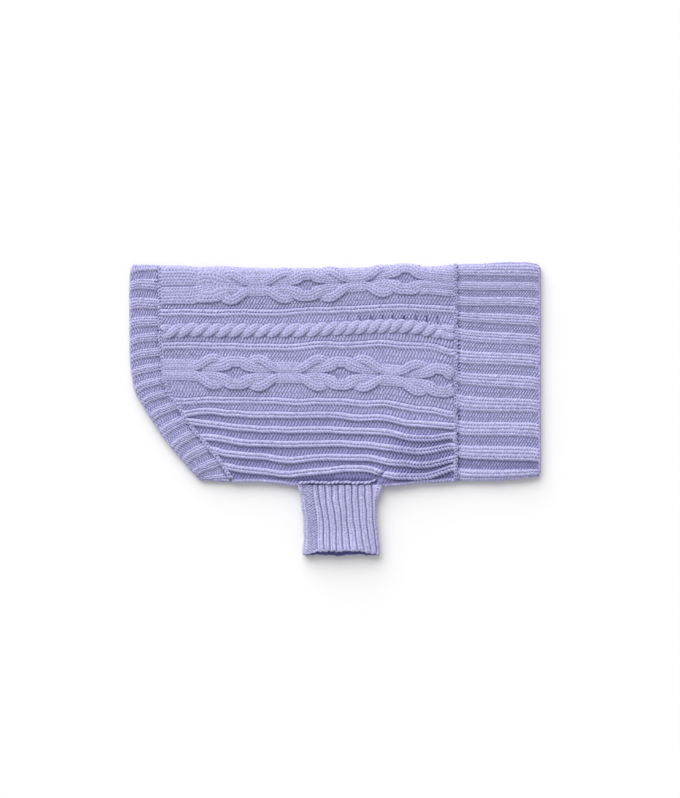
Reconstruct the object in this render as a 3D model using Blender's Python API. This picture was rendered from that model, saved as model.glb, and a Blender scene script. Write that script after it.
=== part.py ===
"""Cable-knit dog sweater, laid flat on its side.

Metres, +Z up.  +X runs along the back towards the collar, +Y across the
garment towards the spine fold, +Z up from the surface it lies on.  The origin
is the centre of the bounding box at that surface.

Each knitted piece is a tube of cloth pressed flat: a far layer lying on the
surface, a near layer lying on it, and a rounded fold at each side.  A tube is
lofted through sections; each section is an outer ring and an inner ring one
wall thickness inside it, both worked out from the edge lines, the height and
the wall.
"""

import math
from collections import namedtuple

import bmesh
import bpy

MM = 0.001

# ---------------------------------------------------------------- sizes (mm)
BACK_LENGTH = 412.0        # hem edge to collar edge, along the spine
SEAM_GAP = 0.3             # clear gap at every sewn seam
REST_Z = 0.0               # the surface the garment lies on

BODY_WALL = 3.0            # cable knit
COLLAR_WALL = 3.4          # heavy rib
HEM_WALL = 2.9             # rib band
SLEEVE_WALL = 2.1          # fine rib

BODY_LIE = 7.2             # two body layers lying on each other
COLLAR_LIE = 8.0
SLEEVE_LIE = 4.6           # one sleeve, two layers
SLEEVE_PAIR = 9.9          # both sleeves, one on the other

FOLD_STEPS = 6             # facets round a fold
RIB_GROOVE = 1.1           # depth of the gap between two collar or hem ribs

COLLAR_SEAM_X = 120.5      # chain seam of the collar
COLLAR_EDGE_X = 205.8      # rounded free edge of the collar
SLEEVE_ROOT_Y = -75.6      # belly edge of the body where the sleeves start
CUFF_Y = -146.5            # free edge of the cuffs
CUFF_SET_BACK = 3.6        # the near cuff's upper layer stops short by this

# ------------------------------------------------------- section tables (mm)
# Side edges of the body as it lies.  One row for each bend of an edge.
Edge = namedtuple("Edge", "x y")
SPINE = [
    Edge(-175.0, 142.9), Edge(-150.0, 142.6), Edge(-135.0, 141.3),
    Edge(-119.0, 142.3), Edge(-85.0, 140.7), Edge(0.0, 140.5),
    Edge(30.0, 140.9), Edge(49.0, 142.2), Edge(65.0, 143.2),
    Edge(95.0, 141.8), Edge(120.5, 144.2),
]
BELLY = [
    Edge(-175.0, -71.4), Edge(-102.5, -71.8), Edge(-63.0, -72.5),
    Edge(-47.0, -74.6), Edge(-38.0, SLEEVE_ROOT_Y), Edge(49.0, SLEEVE_ROOT_Y),
    Edge(65.0, -75.2), Edge(86.0, -72.6), Edge(105.0, -72.2),
    Edge(120.5, -70.8),
]

# Bands that stand above the purl ground of the near layer, spine to belly:
# where each runs at the hem seam and at the collar seam (share of the way from
# spine to belly), how wide it is and how far it stands up.
Band = namedtuple("Band", "rear front width rise")
BODY_BANDS = [
    Band(0.110, 0.105, 30.0, 1.0),     # ring cable beside the spine
    Band(0.210, 0.204, 6.5, 0.8),      # knit rib, one knit column
    Band(0.291, 0.298, 13.0, 1.3),     # rope cable
    Band(0.369, 0.398, 6.5, 0.8),      # knit rib, one knit column
    Band(0.492, 0.520, 31.0, 1.0),     # ring cable along the side
    Band(0.628, 0.668, 6.5, 0.8),      # knit ribs over the belly, one knit column each
    Band(0.691, 0.722, 6.5, 0.8),
    Band(0.752, 0.772, 6.5, 0.9),
    Band(0.822, 0.828, 6.5, 0.9),
    Band(0.885, 0.885, 6.5, 0.9),
]

# Hem band: one row for each gap between two ribs, spine to belly.
HemRib = namedtuple("HemRib", "edge_x edge_y seam_x seam_y")
HEM_RIBS = [
    HemRib(-205.2, 137.3, -175.0, 138.7),
    HemRib(-205.8, 120.7, -175.0, 117.7),
    HemRib(-205.8, 101.2, -175.0, 99.7),
    HemRib(-205.8, 81.7, -174.8, 83.2),
    HemRib(-205.6, 65.2, -174.4, 68.2),
    HemRib(-205.4, 49.2, -173.4, 53.2),
    HemRib(-203.6, 33.7, -172.0, 39.7),
    HemRib(-200.5, 17.2, -170.0, 26.2),
    HemRib(-193.4, 4.8, -164.5, 13.6),
    HemRib(-184.0, -10.3, -155.5, 1.2),
    HemRib(-173.5, -26.8, -147.0, -13.2),
    HemRib(-162.0, -41.3, -135.5, -26.7),
    HemRib(-151.0, -53.8, -123.5, -40.8),
    HemRib(-140.9, -65.0, -111.5, -56.2),
]
HEM_TOP = HemRib(-203.6, 143.7, -175.0, 142.9)     # along the spine fold
HEM_FOOT = HemRib(-137.4, -68.9, -102.8, -71.8)    # along the belly fold

# Collar: one row for each gap between two ribs, spine to belly.
CollarRib = namedtuple("CollarRib", "seam_y edge_y")
COLLAR_RIBS = [
    CollarRib(133.2, 132.8), CollarRib(119.2, 118.2), CollarRib(103.2, 101.7),
    CollarRib(87.2, 83.2), CollarRib(68.2, 63.2), CollarRib(45.2, 42.2),
    CollarRib(23.7, 19.7), CollarRib(-1.8, -3.8), CollarRib(-26.8, -27.8),
    CollarRib(-50.8, -51.8),
]
# Collar outline: one row for each section along it.
CollarCut = namedtuple("CollarCut", "x spine_y belly_y lie")
COLLAR_CUTS = [
    CollarCut(120.8, 144.2, -70.7, 7.4),
    CollarCut(128.0, 144.5, -70.6, 7.8),
    CollarCut(145.0, 144.9, -70.3, 8.4),
    CollarCut(165.0, 146.2, -70.0, 8.6),
    CollarCut(185.0, 146.5, -68.2, 8.6),
    CollarCut(199.0, 145.2, -66.4, 8.6),
    CollarCut(203.6, 143.6, -65.2, 8.2),
    CollarCut(205.8, 140.6, -62.6, 7.6),
]

# How high the body lies, fold to fold.  share is the way from spine to belly.
Swell = namedtuple("Swell", "share rise")
BODY_SWELL = [
    Swell(0.00, 1.5), Swell(0.06, 1.2), Swell(0.15, 0.5), Swell(0.30, 0.2),
    Swell(0.45, 0.5), Swell(0.60, 0.1), Swell(0.80, 0.6), Swell(0.93, 1.2),
    Swell(1.00, 1.5),
]
# Soft lie along the back: the body is a little thicker over the sleeves.
Lie = namedtuple("Lie", "x back belly")
BODY_LIES = [
    Lie(-175.0, -0.4, -0.4), Lie(-120.0, 0.3, -0.2), Lie(-60.0, 0.0, 0.5),
    Lie(-38.0, 0.2, 1.2), Lie(49.0, 0.1, 1.2), Lie(80.0, 0.4, 0.4),
    Lie(108.0, 0.1, 0.0), Lie(120.5, -0.6, -0.6),
]

# Leg sleeves: one row for each section from the armhole to the cuff.
SleeveCut = namedtuple("SleeveCut", "y rear_x front_x lie")
SLEEVE_CUTS = [
    SleeveCut(SLEEVE_ROOT_Y - SEAM_GAP - 0.1, -36.6, 47.8, 4.6),
    SleeveCut(-83.0, -34.7, 44.5, 4.6),
    SleeveCut(-94.3, -33.0, 40.8, 4.6),
    SleeveCut(-109.7, -31.1, 40.7, 4.6),
    SleeveCut(-128.7, -30.5, 42.6, 4.7),
    SleeveCut(-142.0, -31.6, 43.8, 4.9),
    SleeveCut(CUFF_Y, -31.4, 43.8, 4.9),
]
ARMHOLE_SLIT = 1.6         # height of each armhole where it opens into the body


# ------------------------------------------------------------------- helpers
def along(table, x, key="x", value="y"):
    """Read one column of a table at x, straight between its rows."""
    rows = [(getattr(r, key), getattr(r, value)) for r in table]
    if x <= rows[0][0]:
        return rows[0][1]
    for (x0, v0), (x1, v1) in zip(rows, rows[1:]):
        if x <= x1:
            return v0 + (v1 - v0) * (x - x0) / (x1 - x0)
    return rows[-1][1]


def fold_point(turn, edge, toward, depth, low, high):
    """A point on a fold: turn 0 is its top, 1 its foot."""
    a = math.pi * turn
    return (edge - toward * depth * (1.0 - math.sin(a)),
            (low + high) / 2 + (high - low) / 2 * math.cos(a))


def flat_ring(top_edge, bottom_edge, shares, heights, low, fold):
    """A flattened ring as (across, z) pairs, near layer, fold, far layer, fold.

    shares runs 0 to 1 from the top edge to the bottom edge, heights gives the
    near layer's z at each of them, low is the far layer's z and fold the depth
    of the rounded edges.
    """
    near = [top_edge - fold + (bottom_edge - top_edge + 2 * fold) * s for s in shares]
    ring = list(zip(near, heights))
    for k in range(1, FOLD_STEPS):
        ring.append(fold_point(k / FOLD_STEPS, bottom_edge, -1.0, fold, low, heights[-1]))
    ring += [(a, low) for a in reversed(near)]
    for k in range(FOLD_STEPS - 1, 0, -1):
        ring.append(fold_point(k / FOLD_STEPS, top_edge, 1.0, fold, low, heights[0]))
    return ring


def loft_tube(name, outer, inner, collection):
    """A tube of cloth open at both ends, from its outer and inner sections."""
    bm = bmesh.new()
    count = len(outer[0])
    skins = []
    for sections in (outer, inner):
        skins.append([[bm.verts.new([c * MM for c in p]) for p in ring]
                      for ring in sections])
    for skin, flip in zip(skins, (False, True)):
        for a, b in zip(skin, skin[1:]):
            for i in range(count):
                j = (i + 1) % count
                quad = (a[i], a[j], b[j], b[i])
                bm.faces.new(tuple(reversed(quad)) if flip else quad)
    for end, flip in ((0, True), (-1, False)):
        a, b = skins[0][end], skins[1][end]
        for i in range(count):
            j = (i + 1) % count
            quad = (a[i], a[j], b[j], b[i])
            bm.faces.new(tuple(reversed(quad)) if flip else quad)
    bmesh.ops.recalc_face_normals(bm, faces=bm.faces)
    bmesh.ops.triangulate(bm, faces=bm.faces, quad_method="SHORT_EDGE")
    mesh = bpy.data.meshes.new(name)
    bm.to_mesh(mesh)
    bm.free()
    obj = bpy.data.objects.new(name, mesh)
    collection.objects.link(obj)
    mesh.shade_smooth()
    mesh.set_sharp_from_angle(angle=math.radians(50))
    return obj


def yarn(name, colour, roughness):
    mat = bpy.data.materials.new(name)
    mat.use_nodes = True
    shader = mat.node_tree.nodes["Principled BSDF"]
    shader.inputs["Base Color"].default_value = (*colour, 1.0)
    shader.inputs["Roughness"].default_value = roughness
    shader.inputs["Metallic"].default_value = 0.0
    return mat


def ribbed(marks, groove, shares_per_rib=4):
    """Shares across a ribbed layer and how far each lies below the rib tops.

    marks are the shares of the gaps between ribs; between two gaps the rib
    is full, at a gap it drops by the groove.
    """
    stops = [0.0] + list(marks) + [1.0]
    shares, drops = [], []
    for n, (a, b) in enumerate(zip(stops, stops[1:])):
        for k in range(shares_per_rib):
            f = k / shares_per_rib
            shares.append(a + (b - a) * f)
            drops.append(groove if k == 0 and n > 0 else 0.0)
    shares.append(1.0)
    drops.append(0.0)
    return shares, drops


# --------------------------------------------------------------------- build
for old in list(bpy.data.objects):
    bpy.data.objects.remove(old, do_unlink=True)

garment = bpy.data.collections.new("dog_sweater")
bpy.context.scene.collection.children.link(garment)
cutters = bpy.data.collections.new("cutters")
bpy.context.scene.collection.children.link(cutters)

LILAC = (0.42, 0.39, 0.78)


# --- body: from the hem seam at the rear to the collar seam in front
SPINE_FOLD = 3.6
SIDE_FOLD = 3.6
SLEEVE_FOLD = 1.6          # squarer where the sleeves are sewn on
BODY_STATIONS = 14


def belly_fold(x):
    if -44.0 < x < 54.0:
        return SLEEVE_FOLD
    return SIDE_FOLD


def layer_y(x, share, inset=0.0, gap=0.9):
    """y of a share between the two folds, on the outer or the inner skin."""
    top = along(SPINE, x) - (inset + gap if inset else SPINE_FOLD)
    foot = along(BELLY, x) + (inset + gap if inset else belly_fold(x))
    return top + (foot - top) * share


def share_at(x, y):
    """Share of the way from the spine fold to the belly fold, outer skin."""
    return (layer_y(x, 0.0) - y) / (layer_y(x, 0.0) - layer_y(x, 1.0))


HEM_ROWS = [HEM_TOP] + HEM_RIBS + [HEM_FOOT]


def slant_x(rows, y):
    """x on a line of (x, y) rows that runs down in y, past its ends as well."""
    for (x0, y0), (x1, y1) in zip(rows, rows[1:]):
        if y >= y1:
            break
    return x0 + (x1 - x0) * (y0 - y) / (y0 - y1)


SEAM_LINE = [(r.seam_x, r.seam_y) for r in HEM_ROWS]


def body_lie(x, share):
    """Height of the purl ground of the near layer above the surface."""
    lie = BODY_LIE + along(BODY_SWELL, share, "share", "rise")
    back, belly = (along(BODY_LIES, x, "x", k) for k in ("back", "belly"))
    return lie + back * (1.0 - share) + belly * share


def body_rows():
    """Rows across the near layer: (share at the hem, share at the collar, rise).

    Each band gives four rows: foot, shoulder, shoulder, foot.  The corners of
    the hem seam give the rest, so the seam stays true.
    """
    rows = []
    height = 214.0
    for band in BODY_BANDS:
        foot = band.width / 2 / height
        top = foot * 0.6
        for off, rise in ((-foot, 0.0), (-top, band.rise), (top, band.rise), (foot, 0.0)):
            rows.append((band.rear + off, band.front + off, rise))
    marks = [r[0] for r in rows]
    for rib in HEM_RIBS[1:]:
        share = share_at(rib.seam_x, rib.seam_y)
        near = min(abs(share - m) for m in marks)
        if near < 0.002:
            continue
        front = along_rows(rows, share)
        rows.append((share, front, rise_at(rows, share)))
    rows.append((0.0, 0.0, 0.0))
    rows.append((1.0, 1.0, 0.0))
    return sorted(rows)


def along_rows(rows, share):
    """Front share that goes with a rear share, between the bands' own rows."""
    known = [(0.0, 0.0)] + sorted((r[0], r[1]) for r in rows) + [(1.0, 1.0)]
    for (a, fa), (b, fb) in zip(known, known[1:]):
        if share <= b:
            return fa + (fb - fa) * (share - a) / (b - a)
    return share


def rise_at(rows, share):
    known = [(0.0, 0.0)] + sorted((r[0], r[2]) for r in rows) + [(1.0, 0.0)]
    for (a, ra), (b, rb) in zip(known, known[1:]):
        if share <= b:
            return ra + (rb - ra) * (share - a) / (b - a)
    return 0.0


NEAR_ROWS = body_rows()
FAR_ROWS = ([(0.0, 0.0, 0.0)]
            + [(share_at(r.seam_x, r.seam_y),) * 2 + (0.0,) for r in HEM_RIBS[1:]]
            + [(1.0, 1.0, 0.0)])


def seam_point(share, inset=0.0):
    """Where a share meets the hem seam."""
    x = -140.0
    for _ in range(8):
        y = layer_y(x, share, inset)
        x = slant_x(SEAM_LINE, y)
    return x, y


def body_section(step):
    """One section of the body, from the hem seam (0) to the collar seam (1)."""
    rings = []
    for inset in (0.0, BODY_WALL):
        gap = 0.9
        low = REST_Z + inset

        def x_of(share):
            seam = seam_point(share, inset)[0] + SEAM_GAP * 1.5
            return seam + (COLLAR_SEAM_X - seam) * step

        def height(x, share, rise):
            ends = min(1.0, 0.35 + 4.0 * step, 0.5 + 10.0 * (1.0 - step))
            return body_lie(x, share) - inset + (rise * ends if not inset else 0.0)

        def point(row, far):
            share = row[0] + (row[1] - row[0]) * step
            x = x_of(row[0])
            return (x, layer_y(x, share, inset),
                    low if far else height(x, share, row[2]))

        def fold(edge, share, toward, turns):
            x = x_of(share)
            depth = gap if inset else (SPINE_FOLD if toward > 0 else belly_fold(x))
            out = []
            for k in turns:
                y, z = fold_point(k / FOLD_STEPS, along(edge, x) - toward * inset,
                                  toward, depth, low, height(x, share, 0.0))
                past = slant_x(SEAM_LINE, y) - slant_x(SEAM_LINE, layer_y(x, share, inset))
                out.append((x + past * (1.0 - step), y, z))
            return out

        ring = [point(r, False) for r in NEAR_ROWS]
        ring += fold(BELLY, 1.0, -1.0, range(1, FOLD_STEPS))
        ring += [point(r, True) for r in reversed(FAR_ROWS)]
        ring += fold(SPINE, 0.0, 1.0, range(FOLD_STEPS - 1, 0, -1))
        rings.append(ring)
    return rings


sections = [body_section(n / BODY_STATIONS) for n in range(BODY_STATIONS + 1)]
body = loft_tube("body", [s[0] for s in sections], [s[1] for s in sections], garment)
body.data.materials.append(yarn("cable_knit", LILAC, 0.92))

# --- armholes: a slit in the belly fold behind each sleeve
arm_mid = (SLEEVE_CUTS[0].rear_x + SLEEVE_CUTS[0].front_x) / 2
arm_len = SLEEVE_CUTS[0].front_x - SLEEVE_CUTS[0].rear_x - 2 * SLEEVE_WALL
for name, z in (("cut_armhole_near", SLEEVE_PAIR - SLEEVE_WALL - ARMHOLE_SLIT / 2 - 0.5),
                ("cut_armhole_far", SLEEVE_WALL + ARMHOLE_SLIT / 2 + 0.5)):
    bpy.ops.mesh.primitive_cube_add(size=1.0)
    slit = bpy.context.active_object
    slit.name = name
    slit.scale = (arm_len * MM, 8.0 * MM, ARMHOLE_SLIT * MM)
    slit.location = (arm_mid * MM, (SLEEVE_ROOT_Y) * MM, z * MM)
    for c in list(slit.users_collection):
        c.objects.unlink(slit)
    cutters.objects.link(slit)
    slit.display_type = "WIRE"
    slit.hide_render = True
    cut = body.modifiers.new(name, "BOOLEAN")
    cut.operation = "DIFFERENCE"
    cut.object = slit
    cut.solver = "EXACT"


# --- hem band: rows are its ribs, from the free edge to the seam
HEM_FOLD = 3.4
HEM_LIE = 7.0


def hem_section(step):
    """One section of the band, from its free edge (0) to the seam (1)."""
    line = [(r.edge_x + (r.seam_x - r.edge_x) * step,
             r.edge_y + (r.seam_y - r.edge_y) * step) for r in HEM_ROWS]
    top, foot = line[0][1], line[-1][1]
    lie = HEM_LIE - 0.7 * max(0.0, 1.0 - step / 0.1) ** 2
    groove = RIB_GROOVE * (0.3 + 0.7 * min(1.0, step * 4))
    rows = [(top - HEM_FOLD, 0.0)]
    for n in range(1, len(line) - 1):
        rows.append((line[n][1], groove))
        if n < len(line) - 2:
            for f in (0.3, 0.7):
                rows.append((line[n][1] + (line[n + 1][1] - line[n][1]) * f, 0.0))
    rows.append((foot + HEM_FOLD, 0.0))
    rings = []
    for inset, fold in ((0.0, HEM_FOLD), (HEM_WALL, HEM_FOLD - HEM_WALL)):
        low, high = REST_Z + inset, lie - inset
        ring = [(slant_x(line, y), y, high - (0.0 if inset else drop)) for y, drop in rows]
        for k in range(1, FOLD_STEPS):
            y, z = fold_point(k / FOLD_STEPS, foot + inset, -1.0, fold, low, high)
            ring.append((slant_x(line, y), y, z))
        ring += [(slant_x(line, y), y, low) for y, _ in reversed(rows)]
        for k in range(FOLD_STEPS - 1, 0, -1):
            y, z = fold_point(k / FOLD_STEPS, top - inset, 1.0, fold, low, high)
            ring.append((slant_x(line, y), y, z))
        rings.append(ring)
    return rings


sections = [hem_section(s) for s in (0.0, 0.05, 0.3, 0.65, 1.0)]
hem = loft_tube("hem_band", [s[0] for s in sections], [s[1] for s in sections], garment)
hem.data.materials.append(yarn("rib_band", LILAC, 0.92))


# --- collar: sections along X, ribs across it
def collar_section(cut):
    way = (cut.x - COLLAR_SEAM_X) / (COLLAR_EDGE_X - COLLAR_SEAM_X)
    marks = []
    for rib in COLLAR_RIBS:
        y = rib.seam_y + (rib.edge_y - rib.seam_y) * way
        marks.append((cut.spine_y - y) / (cut.spine_y - cut.belly_y))
    groove = RIB_GROOVE * min(1.0, (COLLAR_EDGE_X - cut.x) / 6.0)
    shares, drops = ribbed(marks, groove, 3)
    rings = []
    for inset in (0.0, COLLAR_WALL):
        fold = 4.0 if not inset else 0.5
        heights = [cut.lie - inset - (d if not inset else 0.0) for d in drops]
        flat = flat_ring(cut.spine_y - inset, cut.belly_y + inset, shares, heights,
                         REST_Z + inset, fold)
        rings.append([(cut.x, y, z) for y, z in flat])
    return rings


sections = [collar_section(c) for c in COLLAR_CUTS]
collar = loft_tube("collar", [s[0] for s in sections], [s[1] for s in sections], garment)
collar.data.materials.append(yarn("rib_collar", LILAC, 0.92))


# --- leg sleeves: sections along Y; the near one lies on the far one
def sleeve_sections(near):
    sections = []
    shares = [n / 10 for n in range(11)]
    last = len(SLEEVE_CUTS) - 1
    for n, cut in enumerate(SLEEVE_CUTS):
        base = SLEEVE_PAIR - SLEEVE_LIE if near else REST_Z
        rings = []
        for inset in (0.0, SLEEVE_WALL):
            fold = 2.1 if not inset else 0.3
            heights = [base + cut.lie - inset] * len(shares)
            flat = flat_ring(cut.rear_x + inset, cut.front_x - inset,
                             shares, heights, base + inset, -fold)
            ring = []
            for x, z in flat:
                y = cut.y
                if near and n == last and z > base + cut.lie / 2 + 0.2:
                    y += CUFF_SET_BACK
                ring.append((x, y, z))
            rings.append(ring)
        sections.append(rings)
    return sections


for name, near in (("sleeve_near", True), ("sleeve_far", False)):
    sections = sleeve_sections(near)
    sleeve = loft_tube(name, [s[0] for s in sections], [s[1] for s in sections], garment)
    sleeve.data.materials.append(yarn(name + "_rib", LILAC, 0.92))
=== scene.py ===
"""Looks of the cable-knit dog sweater, laid flat on its side.

Every stitch of the outer face is modelled: knit wales as two columns of slanted
legs, purl wales as interlocked arcs, cables as strands that cross over and under
each other.  Lengths below are millimetres in the part's frame, +X towards the
collar, +Y towards the spine fold, +Z up.
"""

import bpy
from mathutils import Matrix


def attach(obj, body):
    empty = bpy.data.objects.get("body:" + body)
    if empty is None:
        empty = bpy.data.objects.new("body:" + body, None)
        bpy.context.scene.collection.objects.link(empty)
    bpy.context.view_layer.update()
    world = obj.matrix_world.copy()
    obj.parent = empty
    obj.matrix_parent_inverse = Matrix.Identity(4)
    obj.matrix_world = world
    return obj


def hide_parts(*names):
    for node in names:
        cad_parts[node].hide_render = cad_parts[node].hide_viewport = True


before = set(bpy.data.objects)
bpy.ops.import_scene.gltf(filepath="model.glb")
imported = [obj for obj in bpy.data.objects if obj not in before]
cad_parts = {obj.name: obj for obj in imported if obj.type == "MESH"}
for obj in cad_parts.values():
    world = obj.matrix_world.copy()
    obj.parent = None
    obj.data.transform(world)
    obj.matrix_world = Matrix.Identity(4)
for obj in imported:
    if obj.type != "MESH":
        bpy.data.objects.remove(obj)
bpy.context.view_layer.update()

import math

import bpy
import numpy as np

MM = 0.001
PI = math.pi
RNG = np.random.default_rng(7)

# ------------------------------------------------------------ gauge (mm)
COURSE = 3.17            # body, one course along X
COLLAR_COURSE = 2.77
HEM_COURSE = 2.5
SLEEVE_COURSE = 2.59

KNIT_HIGH = 1.0         # height of a knit leg over its creases
PURL_HIGH = 1.15
RIB_LIFT = 0.85          # knit ribs of the body over the purl ground
GROUND_DROP = 0.5        # purl ground below the plain solid's face

WALL = 2.3               # thickness of the cloth between its two faces

# ------------------------------------------------------- outline tables (mm)
SPINE = ((-200, 142.9), (-175, 142.9), (-150, 142.6), (-135, 141.3), (-119, 142.3), (-85, 140.7),
         (0, 140.5), (30, 140.9), (49, 142.2), (65, 143.2), (95, 141.8), (120.5, 144.2), (130, 144.6))
BELLY = ((-200, -71.4), (-175, -71.4), (-102.5, -71.8), (-63, -72.5), (-47, -74.6), (-38, -75.6),
         (49, -75.6), (65, -75.2), (86, -72.6), (105, -72.2), (120.5, -70.8), (130, -70.6))
SWELL = ((0, 1.5), (.06, 1.2), (.15, .5), (.3, .2), (.45, .5), (.6, .1), (.8, .6), (.93, 1.2), (1, 1.5))
LIE_BACK = ((-175, -.4), (-120, .3), (-60, 0), (-38, .2), (49, .1), (80, .4), (108, .1), (120.5, -.6))
LIE_BELLY = ((-175, -.4), (-120, -.2), (-60, .5), (-38, 1.2), (49, 1.2), (80, .4), (108, 0), (120.5, -.6))

# middle of each knit rib of the body: (x, y)
R1 = ((-165, 96.8), (-135, 96.6), (-115, 96.2), (-95, 97.1), (-75, 96.1), (-55, 96.4), (-35, 98.4), (-15, 99.1), (5, 99.4), (25, 100.4), (45, 101.9), (65, 102.1), (95, 100.9), (113, 99.8))
R2 = ((-165, 63.2), (-150, 64.2), (-115, 62.9), (-75, 62.4), (-35, 62.9), (-15, 64.6), (5, 64.2), (25, 65.1), (45, 66.1), (66, 63.6), (90, 62.9), (102, 61.2), (114, 56.9))
R3 = ((-157, 8.4), (-140, 8.8), (-105, 9.4), (-70, 8.6), (-35, 6.9), (9, 7.6), (23, 5.9), (55, 5.2), (71.6, 1.6), (83.8, 0.1), (96, -1.1), (114.4, -5.2))
L1 = ((-149, -4.8), (-140, -3.2), (-122.5, -2.1), (-105, -3.9), (-84, -5.4), (-35, -5.8), (2.6, -6.2), (16, -7.9), (55, -9.6), (70, -13.4), (79, -14.8), (96, -15.4), (115, -17.1))
L2 = ((-148, -12.1), (-133, -14.4), (-112, -16.9), (-98, -18.6), (-70, -20.1), (-11, -20.9), (30, -21.9), (55, -23.9), (70, -27.8), (100.8, -28.4), (111, -26.4), (117, -26.4))
L3 = ((-128, -27.8), (-115.5, -29.1), (-94.5, -33.1), (-70, -34.1), (-52.5, -35.1), (-18, -34.1), (16, -34.9), (55, -38.6), (66.8, -40.6), (83.8, -41.9), (97.4, -40.6), (116.4, -36.6))
L4 = ((-120.4, -41.4), (-105, -44.6), (-91, -46.4), (-70, -47.8), (-42, -50.6), (-31.4, -49.1), (9, -48.1), (36.6, -49.4), (55, -53.2), (70, -54.2), (83.8, -55.6), (94, -55.2), (107.6, -51.9), (115.8, -49.4))
L5 = ((-110, -56.4), (-98, -59.2), (-70, -62.1), (-56, -63.8), (-35, -63.8), (-4, -60.6), (36.6, -61.1), (46.8, -64.4), (58, -66.4), (83.8, -67.8), (97.4, -65.8), (107.6, -61.8), (116.4, -58.4))
# middle of the rope and of the two ring cables
ROPE = ((-165, 77.4), (-150, 78.9), (-115, 78.8), (-75, 78.6), (-35, 79.1), (5, 80.6), (45, 82.8), (65, 83.1), (80, 81.9), (95, 79.1), (117, 75.4))
RING_A = ((-172, 122.8), (-97, 123.2), (-63, 123.6), (-28, 124.8), (10, 126.8), (40, 129.2), (71, 130.8), (95, 128.2), (117, 125.8))
RING_C = ((-172, 39.6), (-140, 38.9), (-99, 36.6), (-65, 36.1), (6, 36.2), (30, 35.6), (50, 34.2), (69, 32.6), (105, 29.2), (117, 27.2))
EYES_A = (-127, -28, 71)          # x of the rings' eyes
EYES_C = (-99, 6, 105)
# x where the rope's strands cross, one over the other
LOBES = (-161.7, -148.3, -135.0, -122.3, -109.7, -97.0, -84.3, -71.0, -58.3, -45.0, -31.5, -18.3, -5.7, 6.3, 17.0, 28.4, 39.6, 50.8, 61.0, 72.4, 84.4, 95.0, 106.0)

# hem band: gaps between its ribs (edge x, edge y, seam x, seam y), spine to belly
HEM_ROWS = ((-203.6, 143.7, -175, 142.9), (-205.2, 137.3, -175, 138.7), (-205.8, 120.7, -175, 117.7), (-205.8, 101.2, -175, 99.7),
            (-205.8, 81.7, -174.8, 83.2), (-205.6, 65.2, -174.4, 68.2), (-205.4, 49.2, -173.4, 53.2), (-203.6, 33.7, -172, 39.7),
            (-200.5, 17.2, -170, 26.2), (-193.4, 4.8, -164.5, 13.6), (-184, -10.3, -155.5, 1.2), (-173.5, -26.8, -147, -13.2),
            (-162, -41.3, -135.5, -26.7), (-151, -53.8, -123.5, -40.8), (-140.9, -65, -111.5, -56.2), (-137.4, -68.9, -102.8, -71.8))
# collar: lower edge of each knit rib (seam y, edge y); outline cuts (x, spine y, belly y, lie)
COLLAR_RIBS = ((133.2, 132.8), (119.2, 118.2), (103.2, 101.7), (87.2, 83.2), (68.2, 63.2), (45.2, 42.2), (23.7, 19.7), (-1.8, -3.8), (-26.8, -27.8), (-50.8, -51.8))
COLLAR_CUTS = ((119.5, 144.2, -70.7, 7.2), (128, 144.5, -70.6, 7.8), (145, 144.9, -70.3, 8.4), (165, 146.2, -70, 8.6), (185, 146.5, -68.2, 8.6), (199, 145.2, -66.4, 8.5), (203.6, 143.6, -65.2, 8.1), (205.8, 140.6, -62.6, 7.4), (208, 139.8, -61.8, 6.6))
COLLAR_SEAM, COLLAR_EDGE = 120.6, 205.8
# sleeves: (y, rear x, front x)
SLEEVE_CUTS = ((-72, -37.6, 49.3), (-76, -36.6, 47.8), (-83, -34.7, 44.5), (-94.3, -33, 40.8), (-109.7, -31.1, 40.7), (-128.7, -30.5, 42.6), (-142, -31.6, 43.8), (-146.5, -31.4, 43.8), (-149, -31.2, 43.6))
# gaps between the sleeve's ribs: (x at the armhole, halfway, at the cuff)
SLEEVE_GAPS = ((-22.0, -18.7, -17.7), (-16.7, -11.8, -11.4), (-10.0, -6.0, -5.3), (-3.3, 0.5, 1.6), (3.4, 6.2, 8.5), (10.0, 12.3, 15.4), (16.8, 18.5, 23.0), (23.5, 24.6, 30.0), (30.1, 31.5, 36.8), (36.8, 38.4, 41.6))

# ------------------------------------------------------------------ helpers
def smooth(table, x, col=1):
    """A smooth line through a table's rows, held level past its ends."""
    xs = np.array([r[0] for r in table], float)
    ys = np.array([r[col] for r in table], float)
    x = np.asarray(x, float)
    m = np.gradient(ys, xs)
    i = np.clip(np.searchsorted(xs, x) - 1, 0, len(xs) - 2)
    h = xs[i + 1] - xs[i]
    t = np.clip((x - xs[i]) / h, 0, 1)
    return ((2 * t ** 3 - 3 * t ** 2 + 1) * ys[i] + (t ** 3 - 2 * t ** 2 + t) * h * m[i]
            + (-2 * t ** 3 + 3 * t ** 2) * ys[i + 1] + (t ** 3 - t ** 2) * h * m[i + 1])


def ease(x, a, b):
    t = np.clip((np.asarray(x, float) - a) / (b - a), 0, 1)
    return t * t * (3 - 2 * t)


def trough(x, y, x0, y0, x1, y1, wide, deep):
    """A soft crease or ridge along a line, fading out at both ends."""
    dx, dy = x1 - x0, y1 - y0
    size = math.hypot(dx, dy)
    t = ((x - x0) * dx + (y - y0) * dy) / size ** 2
    off = ((x - x0) * dy - (y - y0) * dx) / size
    return deep * np.exp(-(off / wide) ** 2) * ease(t, -0.15, 0.25) * (1 - ease(t, 0.75, 1.15))


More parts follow.
